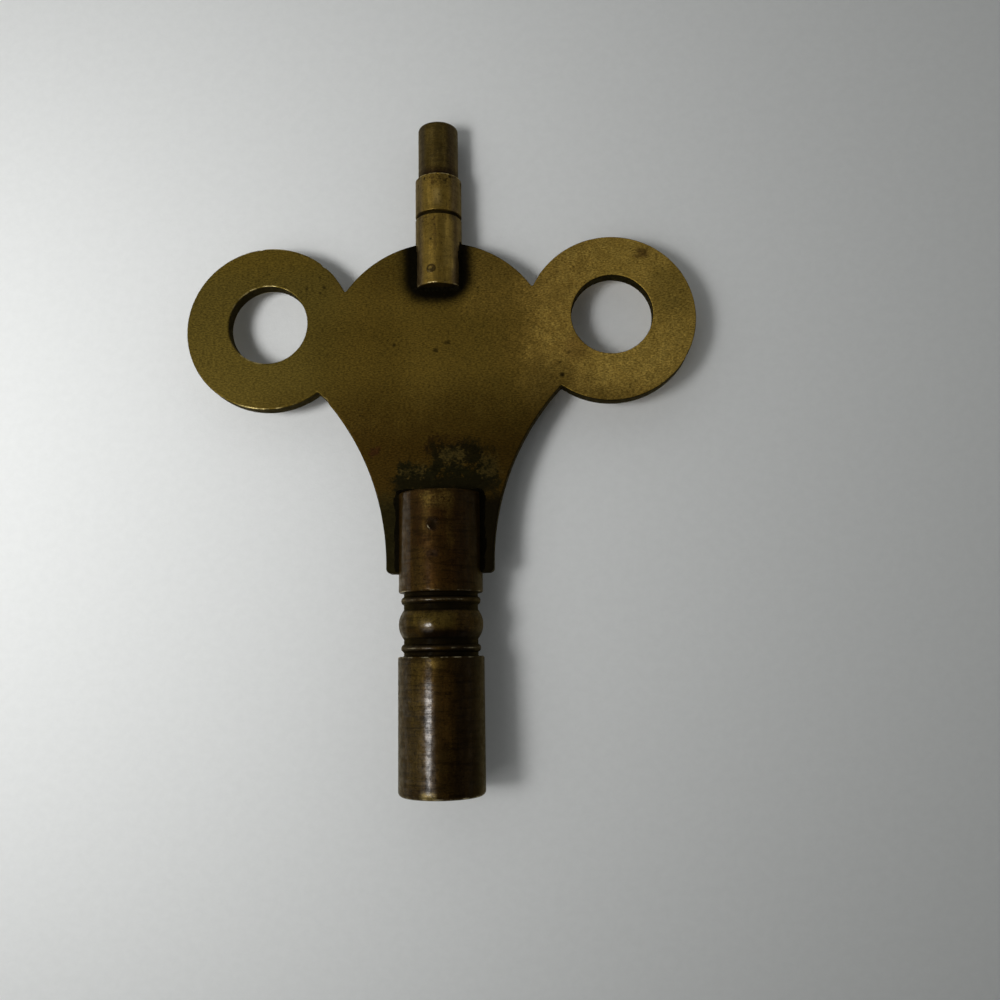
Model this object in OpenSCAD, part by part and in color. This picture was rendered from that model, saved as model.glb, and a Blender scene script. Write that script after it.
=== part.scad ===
// Double-ended clock key: a flat bow with two ring ears carries a large winding
// barrel at one end and a small regulator barrel at the other.
// The key axis runs along +Y, the bow lies in the XY plane and +Z is square to it.
// The origin is the middle of the winding socket's mouth. All sizes are millimetres.

/* [Bow plate] */
// Thickness of the sheet the bow is cut from
plate_thickness = 1.6; // [1.2:0.1:2]
// Key axis to the middle of each ear
ear_reach = 16.6; // [16:0.1:17.2]
// Foot of the plate to the middle of the ears
ear_rise = 24.2; // [23.6:0.1:24.8]
// Outer radius of each ear
ear_radius = 8.15; // [7.8:0.05:8.5]
// Radius of the hole through each ear
hole_radius = 3.9; // [3:0.1:4.8]
// How far each hole sits outside the middle of its ear
hole_shift_out = 0.15; // [0:0.05:0.4]
// How far each hole sits above the middle of its ear
hole_shift_up = 0.35; // [0:0.05:0.6]
// How far the middle of the dome sits below the middle of the ears
dome_drop = 2.85; // [2.4:0.05:3.3]
// Radius of the dome between the ears
dome_radius = 11.05; // [10.7:0.05:11.4]
// Narrowest width of the plate, just above its foot
waist_width = 10.1; // [9.8:0.1:10.6]
// Foot of the plate to the narrowest width
waist_rise = 0.7; // [0.6:0.1:1.2]
// Radius of each hollow flank
flank_radius = 24.9; // [24.2:0.1:25.6]
// Cut across each corner of the foot
foot_corner = 0.4; // [0.2:0.05:0.6]
// Bevel along the edges of the plate
plate_bevel = 0.15; // [0.05:0.05:0.25]

/* [Winding barrel] */
// Diameter of the plain barrel round the socket
barrel_diameter = 8; // [7.8:0.1:8.6]
// Length of the plain barrel
barrel_length = 12.5; // [12:0.1:14]
// Diameter of the slotted barrel that holds the plate
holder_diameter = 7.86; // [7.6:0.02:8.2]
// Length of the slotted barrel
holder_length = 9.35; // [9:0.05:10]
// How deep the foot of the plate sits in the slot
foot_depth = 7.5; // [7.2:0.1:8]
// Rounding of the barrel's rim at the mouth
mouth_round = 0.45; // [0.2:0.05:0.6]
// Bevel on the other rims of the barrel
rim_bevel = 0.2; // [0.1:0.05:0.3]

/* [Turned neck] */
// Length of the neck between the two barrels
neck_length = 5.85; // [5.5:0.05:6.5]
// Diameter at the bottom of the neck's grooves
neck_diameter = 6.9; // [6.6:0.1:7.1]
// Diameter of the large middle bead
large_bead_diameter = 7.86; // [7.6:0.02:8]
// Length of the large bead along the axis
large_bead_length = 2.7; // [2.4:0.1:2.9]
// Diameter of the two small beads
small_bead_diameter = 7.4; // [7.2:0.05:7.6]
// Length of each small bead along the axis
small_bead_length = 0.75; // [0.6:0.05:0.85]
// End of the neck to the middle of the nearest small bead
small_bead_inset = 0.75; // [0.65:0.05:0.8]

/* [Winding socket] */
// Width of the square hole, a number 8 key
winding_square = 4.25; // [3.75:0.25:4.75]
// Depth of the square hole
winding_socket_depth = 11.5; // [9:0.5:13]
// How far the drilled hole runs past the square
drill_beyond = 1.2; // [0.5:0.1:2]
// How much narrower the drilled hole is than the square
drill_undersize = 0.15; // [0.05:0.05:0.3]
// Depth of the sloping lead-in at the mouth
winding_lead_in = 0.7; // [0.3:0.1:0.8]

/* [Regulator barrel] */
// Diameter of the small slotted barrel
regulator_diameter = 4.55; // [4.4:0.05:4.9]
// How far the barrel reaches down over the dome
regulator_overlap = 4.65; // [4.2:0.05:5]
// Top of the dome to the shoulder under the tip
shoulder_rise = 6.6; // [6.4:0.1:7]
// Bevel on the rims of the barrel
regulator_bevel = 0.15; // [0.05:0.05:0.15]
// Shoulder to the middle of the turned groove
groove_drop = 4; // [3.6:0.1:4.2]
// Width of the turned groove
groove_width = 0.35; // [0.25:0.05:0.5]
// Depth of the turned groove
groove_depth = 0.3; // [0.15:0.05:0.4]

/* [Regulator tip] */
// Diameter of the tip
tip_diameter = 3.95; // [3.75:0.05:4.05]
// Length of the tip beyond the shoulder
tip_length = 5.6; // [5.2:0.1:6.4]
// Rounding of the rim at the small mouth
tip_round = 0.35; // [0.15:0.05:0.4]
// Diameter of the shank inside the regulator barrel
shank_diameter = 3; // [2.6:0.1:3.2]
// Length of the shank
shank_length = 4.8; // [4.4:0.1:5]
// Gap round the shank
shank_clearance = 0.02; // [0.01:0.01:0.03]
// Width of the small square hole
regulator_square = 2; // [1.5:0.25:2]
// Depth of the small square hole
regulator_socket_depth = 5; // [4:0.1:5]
// Depth of the sloping lead-in at the small mouth
regulator_lead_in = 0.3; // [0.1:0.05:0.35]

/* [Cross pins] */
// Diameter of the two pins through the winding barrel
winding_pin_diameter = 1.2; // [0.9:0.1:1.4]
// End of the slotted barrel to the upper pin
upper_pin_drop = 3.3; // [3:0.1:3.6]
// Distance between the two pins
winding_pin_spacing = 2.7; // [2.4:0.1:2.8]
// How far the two pins sit off the key axis
winding_pin_offset = -0.25; // [-0.5:0.05:0.5]
// Diameter of the pin through the regulator barrel
regulator_pin_diameter = 0.9; // [0.7:0.1:1.1]
// End of the regulator barrel to its pin
regulator_pin_rise = 1.45; // [1.3:0.05:1.9]
// How far the regulator pin sits off the key axis
regulator_pin_offset = -0.5; // [-0.6:0.05:0.6]
// Gap round each pin in its holes
pin_clearance = 0.02; // [0.01:0.01:0.03]
// How far the ends of the pins stand out of the barrels
pin_proud = 0.05; // [0.02:0.01:0.08]

/* [Solder] */
// Width of the solder fillets on the plate
solder_leg = 0.5; // [0.3:0.05:0.55]
// Height of the solder fillets against the barrels
solder_rise = 0.5; // [0.3:0.05:0.55]
// Gap on each side of the plate in the two slots
slot_clearance = 0.02; // [0.01:0.01:0.04]

/* [Hidden] */
$fn = 96;

// Overrun of every cutting shape past the solid it cuts
cut_past = 1;
// Half of a twist drill's point angle
drill_half_angle = 59;
// Depth by which the beads are rooted in the neck
bead_root = 0.5;

half_plate = plate_thickness / 2;
half_slot = half_plate + slot_clearance;
barrel_radius = barrel_diameter / 2;
holder_radius = holder_diameter / 2;
neck_radius = neck_diameter / 2;
regulator_radius = regulator_diameter / 2;
tip_radius = tip_diameter / 2;
shank_radius = shank_diameter / 2;
winding_pin_radius = winding_pin_diameter / 2;
regulator_pin_radius = regulator_pin_diameter / 2;
winding_drill_radius = (winding_square - drill_undersize) / 2;
regulator_drill_radius = (regulator_square - drill_undersize) / 2;

neck_end = barrel_length + neck_length;
holder_end = neck_end + holder_length;
foot_y = holder_end - foot_depth;
ear_y = foot_y + ear_rise;
hole_x = ear_reach + hole_shift_out;
hole_y = ear_y + hole_shift_up;
dome_y = ear_y - dome_drop;
dome_top = dome_y + dome_radius;
waist_y = foot_y + waist_rise;
flank_x = waist_width / 2 + flank_radius;
foot_half_width = flank_x - chord(flank_radius, waist_rise);

regulator_low = dome_top - regulator_overlap;
shoulder_y = dome_top + shoulder_rise;
groove_y = shoulder_y - groove_drop;
tip_end = shoulder_y + tip_length;
shank_low = shoulder_y - shank_length;

upper_pin_y = holder_end - upper_pin_drop;
lower_pin_y = upper_pin_y - winding_pin_spacing;
regulator_pin_y = regulator_low + regulator_pin_rise;

regulator_solder_foot = chord(regulator_radius, half_plate) + solder_leg;
regulator_solder_end = dome_y + chord(dome_radius - plate_bevel, regulator_solder_foot);

// Half the width of a round bar of this radius at a height above its axis
function chord(radius, height) = sqrt(radius * radius - height * height);

// The shape and its mirror image across the key axis
module both_sides() {
    children();
    mirror([1, 0, 0]) children();
}

// The shape and its mirror image on the back of the plate
module both_faces() {
    children();
    mirror([0, 0, 1]) children();
}

// Turns a flat profile of radius and height about the key axis
module turned() {
    rotate([-90, 0, 0]) rotate_extrude() children();
}

// Round bar along the key axis
module axis_bar(radius, from, to, end_radius = -1) {
    translate([0, from, 0]) rotate([-90, 0, 0])
        cylinder(r1 = radius, r2 = end_radius < 0 ? radius : end_radius, h = to - from);
}

// Round bar square to the plate
module cross_bar(radius, x, y, reach) {
    translate([x, y, -reach]) cylinder(r = radius, h = 2 * reach);
}

// Disc as thick as the plate, with bevelled edges
module plate_disc(radius) {
    rotate_extrude() polygon([
        [0, -half_plate],
        [radius - plate_bevel, -half_plate],
        [radius, plate_bevel - half_plate],
        [radius, half_plate - plate_bevel],
        [radius - plate_bevel, half_plate],
        [0, half_plate]
    ]);
}

// Round cutter that leaves bevelled edges on both faces of the plate
module plate_cutter(radius) {
    flare = radius + plate_bevel + cut_past;
    rotate_extrude() polygon([
        [0, -half_plate - cut_past],
        [flare, -half_plate - cut_past],
        [radius, plate_bevel - half_plate],
        [radius, half_plate - plate_bevel],
        [flare, half_plate + cut_past],
        [0, half_plate + cut_past]
    ]);
}

// Web from the foot up to the ears, bevelled along the foot
module web() {
    translate([-ear_reach, 0, 0]) rotate([90, 0, 90]) linear_extrude(2 * ear_reach) polygon([
        [foot_y, plate_bevel - half_plate],
        [foot_y + plate_bevel, -half_plate],
        [ear_y, -half_plate],
        [ear_y, half_plate],
        [foot_y + plate_bevel, half_plate],
        [foot_y, half_plate - plate_bevel]
    ]);
}

// Wedge that takes one corner off the foot
module corner_cutter() {
    reach = foot_corner + 2 * cut_past;
    translate([foot_half_width + cut_past, foot_y - cut_past, -half_plate - cut_past])
        linear_extrude(plate_thickness + 2 * cut_past)
            polygon([[0, 0], [0, reach], [-reach, 0]]);
}

// Bead on the neck, an arc through its two ends and its crest
module bead(middle, length, diameter) {
    crest = diameter / 2;
    half = length / 2;
    swell = crest - neck_radius;
    arc_radius = (half * half + swell * swell) / (2 * swell);
    intersection() {
        translate([crest - arc_radius, middle]) circle(arc_radius);
        translate([neck_radius - bead_root, middle - half]) square([swell + 2 * bead_root, length]);
    }
}

// Square hole cut by a drift after drilling, running along +Y from its mouth at the origin
module square_socket(square_width, depth, drill_radius, lead_in) {
    drilled = depth + drill_beyond;
    translate([-square_width / 2, -cut_past, -square_width / 2])
        cube([square_width, depth + cut_past, square_width]);
    axis_bar(drill_radius, 0, drilled);
    axis_bar(drill_radius, drilled, drilled + drill_radius / tan(drill_half_angle), 0);
    axis_bar(square_width / 2 + lead_in + cut_past, -cut_past, lead_in, square_width / 2);
}

// Slot for the plate, cut across a barrel
module plate_slot(radius, from, to) {
    translate([-radius - cut_past, from, -half_slot])
        cube([2 * (radius + cut_past), to - from, 2 * half_slot]);
}

// Pin filed to the round of the barrel it goes through
module filed_pin(pin_radius, x, y, barrel) {
    intersection() {
        cross_bar(pin_radius, x, y, barrel + cut_past);
        axis_bar(barrel + pin_proud, y - barrel, y + barrel);
    }
}

// Bank of solder on the front of the plate, along a bar's sides and across its end at Y = run
module solder_bank(radius, run) {
    top = half_plate + solder_rise;
    foot = chord(radius, half_plate) + solder_leg;
    shoulder = chord(radius, top);
    difference() {
        intersection() {
            translate([0, run + solder_leg, 0]) rotate([90, 0, 0]) linear_extrude(run + solder_leg)
                polygon([[-foot, half_plate], [foot, half_plate], [shoulder, top], [-shoulder, top]]);
            translate([-foot, 0, 0]) rotate([90, 0, 90]) linear_extrude(2 * foot)
                polygon([[0, half_plate], [run + solder_leg, half_plate], [run, top], [0, top]]);
        }
        axis_bar(radius, -cut_past, run);
    }
}

// Stamped bow with two ring ears, a dome, hollow flanks and a straight foot
module bow_plate() {
    color([0.44, 0.36, 0.15]) difference() {
        union() {
            translate([0, dome_y, 0]) plate_disc(dome_radius);
            both_sides() translate([ear_reach, ear_y, 0]) plate_disc(ear_radius);
            difference() {
                web();
                both_sides() translate([flank_x, waist_y, 0]) plate_cutter(flank_radius);
                both_sides() corner_cutter();
            }
        }
        both_sides() translate([hole_x, hole_y, 0]) plate_cutter(hole_radius);
        cross_bar(winding_pin_radius + pin_clearance, winding_pin_offset, upper_pin_y, plate_thickness);
        cross_bar(winding_pin_radius + pin_clearance, winding_pin_offset, lower_pin_y, plate_thickness);
        cross_bar(regulator_pin_radius + pin_clearance, regulator_pin_offset, regulator_pin_y, plate_thickness);
    }
}

// Turned barrel with the winding socket, the beaded neck and the slotted holder
module winding_barrel() {
    color([0.33, 0.24, 0.12]) difference() {
        turned() {
            polygon([
                [0, 0],
                [barrel_radius - mouth_round, 0],
                [barrel_radius, mouth_round],
                [barrel_radius, barrel_length - rim_bevel],
                [barrel_radius - rim_bevel, barrel_length],
                [neck_radius, barrel_length],
                [neck_radius, neck_end],
                [holder_radius - rim_bevel, neck_end],
                [holder_radius, neck_end + rim_bevel],
                [holder_radius, holder_end - rim_bevel],
                [holder_radius - rim_bevel, holder_end],
                [0, holder_end]
            ]);
            translate([barrel_radius - mouth_round, mouth_round]) circle(mouth_round);
            bead(barrel_length + neck_length / 2, large_bead_length, large_bead_diameter);
            bead(barrel_length + small_bead_inset, small_bead_length, small_bead_diameter);
            bead(neck_end - small_bead_inset, small_bead_length, small_bead_diameter);
        }
        square_socket(winding_square, winding_socket_depth, winding_drill_radius, winding_lead_in);
        plate_slot(holder_radius, foot_y - slot_clearance, holder_end + cut_past);
        cross_bar(winding_pin_radius + pin_clearance, winding_pin_offset, upper_pin_y, barrel_diameter);
        cross_bar(winding_pin_radius + pin_clearance, winding_pin_offset, lower_pin_y, barrel_diameter);
    }
}

// Upper cross pin of the winding barrel
module winding_pin_upper() {
    color([0.4, 0.32, 0.16]) filed_pin(winding_pin_radius, winding_pin_offset, upper_pin_y, holder_radius);
}

// Lower cross pin of the winding barrel
module winding_pin_lower() {
    color([0.4, 0.32, 0.16]) filed_pin(winding_pin_radius, winding_pin_offset, lower_pin_y, holder_radius);
}

// Solder along the winding barrel, on both faces of the plate
module winding_solder() {
    color([0.2, 0.18, 0.12])
        both_faces() translate([0, foot_y + plate_bevel, 0])
            solder_bank(holder_radius, holder_end - foot_y - plate_bevel);
}

// Small turned barrel, slotted over the dome and bored for the tip
module regulator_barrel() {
    color([0.45, 0.37, 0.17]) difference() {
        turned() polygon([
            [0, regulator_low],
            [regulator_radius - regulator_bevel, regulator_low],
            [regulator_radius, regulator_low + regulator_bevel],
            [regulator_radius, groove_y - groove_width / 2],
            [regulator_radius - groove_depth, groove_y - groove_width / 2],
            [regulator_radius - groove_depth, groove_y + groove_width / 2],
            [regulator_radius, groove_y + groove_width / 2],
            [regulator_radius, shoulder_y - regulator_bevel],
            [regulator_radius - regulator_bevel, shoulder_y],
            [0, shoulder_y]
        ]);
        plate_slot(regulator_radius, regulator_low - cut_past, dome_top + slot_clearance);
        axis_bar(shank_radius + shank_clearance, shank_low - shank_clearance, shoulder_y + cut_past);
        cross_bar(regulator_pin_radius + pin_clearance, regulator_pin_offset, regulator_pin_y, regulator_diameter);
    }
}

// Narrow tip with the small square socket, shouldered down to a shank
module regulator_tip() {
    color([0.38, 0.29, 0.13]) difference() {
        turned() {
            polygon([
                [0, shank_low],
                [shank_radius, shank_low],
                [shank_radius, shoulder_y],
                [tip_radius, shoulder_y],
                [tip_radius, tip_end - tip_round],
                [tip_radius - tip_round, tip_end],
                [0, tip_end]
            ]);
            translate([tip_radius - tip_round, tip_end - tip_round]) circle(tip_round);
        }
        translate([0, tip_end, 0]) mirror([0, 1, 0])
            square_socket(regulator_square, regulator_socket_depth, regulator_drill_radius, regulator_lead_in);
    }
}

// Cross pin of the regulator barrel
module regulator_pin() {
    color([0.4, 0.32, 0.16]) filed_pin(regulator_pin_radius, regulator_pin_offset, regulator_pin_y, regulator_radius);
}

// Solder along the regulator barrel, on both faces of the plate
module regulator_solder() {
    color([0.2, 0.18, 0.12])
        both_faces() translate([0, regulator_solder_end, 0]) mirror([0, 1, 0])
            solder_bank(regulator_radius, regulator_solder_end - regulator_low);
}

bow_plate();
winding_barrel();
winding_pin_upper();
winding_pin_lower();
winding_solder();
regulator_barrel();
regulator_tip();
regulator_pin();
regulator_solder();
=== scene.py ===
"""Dressed scene of a double-ended brass clock key.

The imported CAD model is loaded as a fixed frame. Each class below builds one sub-assembly of
the key as a finer mesh in the same frame and dresses it in aged brass made of shader nodes.
Sizes are in millimetres and become metres when a mesh turns into an object.
"""
import logging
import math
from dataclasses import dataclass, field, replace
from enum import Enum
from typing import Any, Callable, Mapping, Sequence

import bpy
import numpy as np
from mathutils import Euler, Matrix, Vector, noise
from mathutils.geometry import delaunay_2d_cdt
from mathutils.kdtree import KDTree


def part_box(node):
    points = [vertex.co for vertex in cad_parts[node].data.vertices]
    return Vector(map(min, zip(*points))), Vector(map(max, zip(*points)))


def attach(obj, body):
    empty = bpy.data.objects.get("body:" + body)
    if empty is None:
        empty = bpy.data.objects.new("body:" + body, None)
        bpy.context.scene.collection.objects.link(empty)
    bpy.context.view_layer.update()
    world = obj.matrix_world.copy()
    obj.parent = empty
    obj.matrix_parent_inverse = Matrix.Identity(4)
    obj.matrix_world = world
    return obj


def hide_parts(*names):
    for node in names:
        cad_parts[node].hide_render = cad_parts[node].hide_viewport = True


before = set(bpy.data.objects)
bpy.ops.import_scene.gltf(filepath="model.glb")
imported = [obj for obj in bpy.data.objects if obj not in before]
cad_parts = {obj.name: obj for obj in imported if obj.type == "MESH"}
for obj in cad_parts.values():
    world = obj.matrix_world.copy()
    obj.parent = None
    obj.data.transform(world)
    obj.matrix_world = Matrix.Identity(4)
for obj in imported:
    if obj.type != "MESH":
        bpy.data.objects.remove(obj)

LOG = logging.getLogger("clock_key")
MM = 0.001
BODY = "root"

# Step of a noise pattern from one seed to the next
SEED_STEP = (17.3, 5.7, 11.9)
# How far a cutter runs past the piece that it cuts
CUT_PAST = 1.0
# Sides of the round cutters for sockets and bores
BORE_SIDES = 96
# Steps of an outline along turned sides and across end faces
SIDE_STEP = 0.1
FACE_STEP = 0.2
# Angle that the rounding of a rim usually runs through, in degrees
RIM_TURN = 85.0
# Sharpest fold that is shaded smooth on a turned piece, in degrees
TURNED_CREASE = 32.0
ORIGIN = (0.0, 0.0, 0.0)

Pair = tuple[float, float]
Triple = tuple[float, float, float]
Colour = Triple
Face = tuple[int, ...]
Array = np.ndarray
Piece = bpy.types.Object
Material = bpy.types.Material
Group = bpy.types.NodeTree
Outputs = bpy.types.NodeOutputs
Socket = bpy.types.NodeSocket
Value = Socket | float | Triple
Span = tuple[Value, Value]
Feeds = Mapping[Any, Value]


class Slot(Enum):
    """Material slots of the record, one for each finish; this script gives no piece a slot."""

    BOW = "bow"
    WINDING = "winding"
    REGULATOR = "regulator"
    TIP = "tip"
    PINS = "pins"
    SOLDER = "solder"


class Mask(Enum):
    """Masks painted on the points of a mesh and read by its finish."""

    # Bright edges: worn metal, and painted highlight on edges and crests
    WEAR_AND_GLINT = "rubbed"
    # Dark places: dirt in hollows, and painted shade on walls, bead flanks and an end face
    DIRT_AND_SHADE = "hollow"


def node_box(node: str) -> tuple[Array, Array]:
    """Gives the lowest and highest corners of a CAD node in millimetres."""
    low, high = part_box(node)
    return np.array(low) / MM, np.array(high) / MM


def chord(radius: float, height: float) -> float:
    """Gives half the width of a round bar at a height above its axis."""
    return math.sqrt(radius * radius - height * height)


def falloff(away: Array, reach: float) -> Array:
    """Falls smoothly from 1 at no distance to almost 0 at twice the reach."""
    return np.exp(-((away / reach) ** 2))


def raised(spots: Array, height: float | Array) -> Array:
    """Gives places on the plate as points, at one height or at a height each."""
    return np.c_[spots, np.broadcast_to(height, len(spots))]


def nearest(points: Array, marks: Array) -> Array:
    """Measures how far points are from the nearest of some marks.

    Args:
        points: Points in millimetres, one row each.
        marks: Marks in millimetres, one row each.

    Returns:
        One distance for each point.
    """
    tree = KDTree(len(marks))
    for index, mark in enumerate(marks):
        tree.insert(mark, index)
    tree.balance()
    return np.array([tree.find(point)[2] for point in points])


def quad(low: int, high: int, step: int, size: int) -> Face:
    """Gives the face between two rings of points at a step round them."""
    after = (step + 1) % size
    return low + step, low + after, high + after, high + step


@dataclass(frozen=True)
class Ripple:
    """Smooth unevenness: its amount, its ripples per millimetre and the seed of its pattern."""

    amount: float
    scale: float
    seed: int

    def at(self, points: Array) -> Array:
        """Samples the unevenness.

        Args:
            points: Places in millimetres, one row each.

        Returns:
            One value for each point, from about minus to plus the amount.
        """
        shift = Vector([self.seed * part for part in SEED_STEP])
        levels = [noise.noise(Vector(point) * self.scale + shift) for point in points]
        return self.amount * np.array(levels)


@dataclass
class Shell:
    """Points and faces of one mesh, in millimetres."""

    points: Array
    faces: list[Face]

    def joined(self, other: "Shell") -> "Shell":
        """Joins this shell and another.

        Args:
            other: The other shell.

        Returns:
            One shell that holds both.
        """
        start = len(self.points)
        moved = [tuple(index + start for index in face) for face in other.faces]
        return Shell(np.vstack([self.points, other.points]), self.faces + moved)

    def to_object(self, name: str) -> Piece:
        """Turns the shell into a Blender object in metres.

        Args:
            name: Name of the object and of its mesh.

        Returns:
            The object, linked to the scene.
        """
        mesh = bpy.data.meshes.new(name)
        mesh.from_pydata((self.points * MM).tolist(), [], self.faces)
        mesh.validate()
        piece = bpy.data.objects.new(name, mesh)
        bpy.context.scene.collection.objects.link(piece)
        return piece


def mesh_points(piece: Piece) -> Array:
    """Reads the points of an object's mesh.

    Args:
        piece: The object.

    Returns:
        The points in millimetres, one row each.
    """
    flat = np.empty(len(piece.data.vertices) * 3)
    piece.data.vertices.foreach_get("co", flat)
    return flat.reshape(-1, 3) / MM


def paint(piece: Piece, mask: Mask, values: Array) -> None:
    """Writes one mask value, kept from 0 to 1, to each point of a mesh."""
    layer = piece.data.attributes.new(mask.value, "FLOAT", "POINT")
    layer.data.foreach_set("value", np.clip(values, 0.0, 1.0).astype(np.float32))


def smooth(piece: Piece, crease_degrees: float) -> None:
    """Shades a mesh smooth, apart from edges sharper than an angle."""
    piece.data.shade_smooth()
    piece.data.set_sharp_from_angle(angle=math.radians(crease_degrees))


def carve(piece: Piece, cutters: Sequence[Piece]) -> None:
    """Cuts shapes out of a mesh and deletes the cutters.

    Args:
        piece: Object that is cut.
        cutters: Closed objects that are taken away from it, one after the other.
    """
    for cutter in cutters:
        cut = piece.modifiers.new(cutter.name, "BOOLEAN")
        cut.operation = "DIFFERENCE"
        cut.solver = "EXACT"
        cut.object = cutter
    depsgraph = bpy.context.evaluated_depsgraph_get()
    carved = bpy.data.meshes.new_from_object(piece.evaluated_get(depsgraph))
    piece.modifiers.clear()
    whole = piece.data
    piece.data = carved
    bpy.data.meshes.remove(whole)
    carved.name = piece.name
    for cutter in cutters:
        shape = cutter.data
        bpy.data.objects.remove(cutter)
        bpy.data.meshes.remove(shape)


def block_cutter(name: str, low: Triple, high: Triple) -> Piece:
    """Makes a square-edged cutter between two corners.

    Args:
        name: Name of the cutter.
        low: Lowest corner in millimetres.
        high: Highest corner in millimetres.

    Returns:
        The cutter object.
    """
    across, along, up = zip(low, high)
    corners = [(x, y, z) for z in up for y in along for x in across]
    faces = [(0, 2, 3, 1), (4, 5, 7, 6), (0, 1, 5, 4), (2, 6, 7, 3), (0, 4, 6, 2), (1, 3, 7, 5)]
    return Shell(np.array(corners), faces).to_object(name)


def lathe(profile: Sequence[Pair], sides: int) -> Shell:
    """Turns a profile about the key axis.

    Args:
        profile: Pairs of radius and height, from the low end to the high end, starting and
            ending on the axis.
        sides: Points round each ring.

    Returns:
        A closed shell round the Y axis.
    """
    turns = np.arange(sides) * math.tau / sides
    rings = [
        np.c_[radius * np.sin(turns), np.full(sides, height), radius * np.cos(turns)]
        for radius, height in profile[1:-1]
    ]
    points = np.vstack([(0.0, profile[0][1], 0.0), *rings, (0.0, profile[-1][1], 0.0)])
    last = len(points) - 1
    top = last - sides
    faces: list[Face] = []
    for step in range(sides):
        after = (step + 1) % sides
        faces += [(0, 1 + after, 1 + step), (last, top + step, top + after)]
        faces += [quad(low, low + sides, step, sides) for low in range(1, top, sides)]
    return Shell(points, faces)


def rod(radius: float, low: float, high: float, sides: int) -> Shell:
    """Makes a plain round bar on the key axis, between two heights."""
    return lathe([(0.0, low), (radius, low), (radius, high), (0.0, high)], sides)


class Profile:
    """Half outline of a turned piece, drawn from its low end to its high end."""

    def __init__(self, start_y: float) -> None:
        """Starts the outline on the axis at a height."""
        self.points: list[Pair] = [(0.0, start_y)]
        self.turned: list[bool] = [False]

    def line(self, radius: float, height: float, step: float = 0.0) -> None:
        """Draws a straight line.

        Args:
            radius: Radius at the end of the line.
            height: Height at the end of the line.
            step: Length of the pieces that it is cut into, or 0 for one piece.
        """
        from_r, from_y = self.points[-1]
        length = math.hypot(radius - from_r, height - from_y)
        parts = max(1, round(length / step)) if step else 1
        for part in range(1, parts + 1):
            share = part / parts
            point = (from_r + (radius - from_r) * share, from_y + (height - from_y) * share)
            self.points.append(point)
            self.turned.append(step > 0.0 and part < parts)

    def arc(self, middle: Pair, size: float, start: float, end: float, steps: int) -> None:
        """Draws an arc.

        Args:
            middle: Radius and height at the middle of the arc.
            size: Radius of the arc itself.
            start: First angle in degrees, from the outward direction.
            end: Last angle in degrees.
            steps: Number of pieces.
        """
        radius, height = middle
        for part in range(steps + 1):
            angle = math.radians(start + (end - start) * part / steps)
            self.points.append((radius + size * math.cos(angle), height + size * math.sin(angle)))
            self.turned.append(False)

    def rim_out(
        self, radius: float, height: float, size: float, turn: float = RIM_TURN, steps: int = 6
    ) -> None:
        """Rounds a rim from an end face out to the side."""
        self.arc((radius - size, height + size), size, -turn, 0.0, steps)

    def rim_in(
        self, radius: float, height: float, size: float, turn: float = RIM_TURN, steps: int = 6
    ) -> None:
        """Rounds a rim from the side in to an end face."""
        self.arc((radius - size, height - size), size, 0.0, turn, steps)

    def chattered(self, depth: float, seed: int) -> list[Pair]:
        """Gives the outline with the tool marks that a lathe leaves on its straight runs.

        Args:
            depth: Largest depth of a mark in millimetres.
            seed: Seed of the marks.

        Returns:
            Pairs of radius and height.
        """
        dice = np.random.default_rng(seed)
        marks = dice.uniform(-1.0, 0.0, len(self.points)) * depth
        rows = zip(self.points, self.turned, marks)
        return [(r + mark if turned else r, y) for (r, y), turned, mark in rows]


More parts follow.
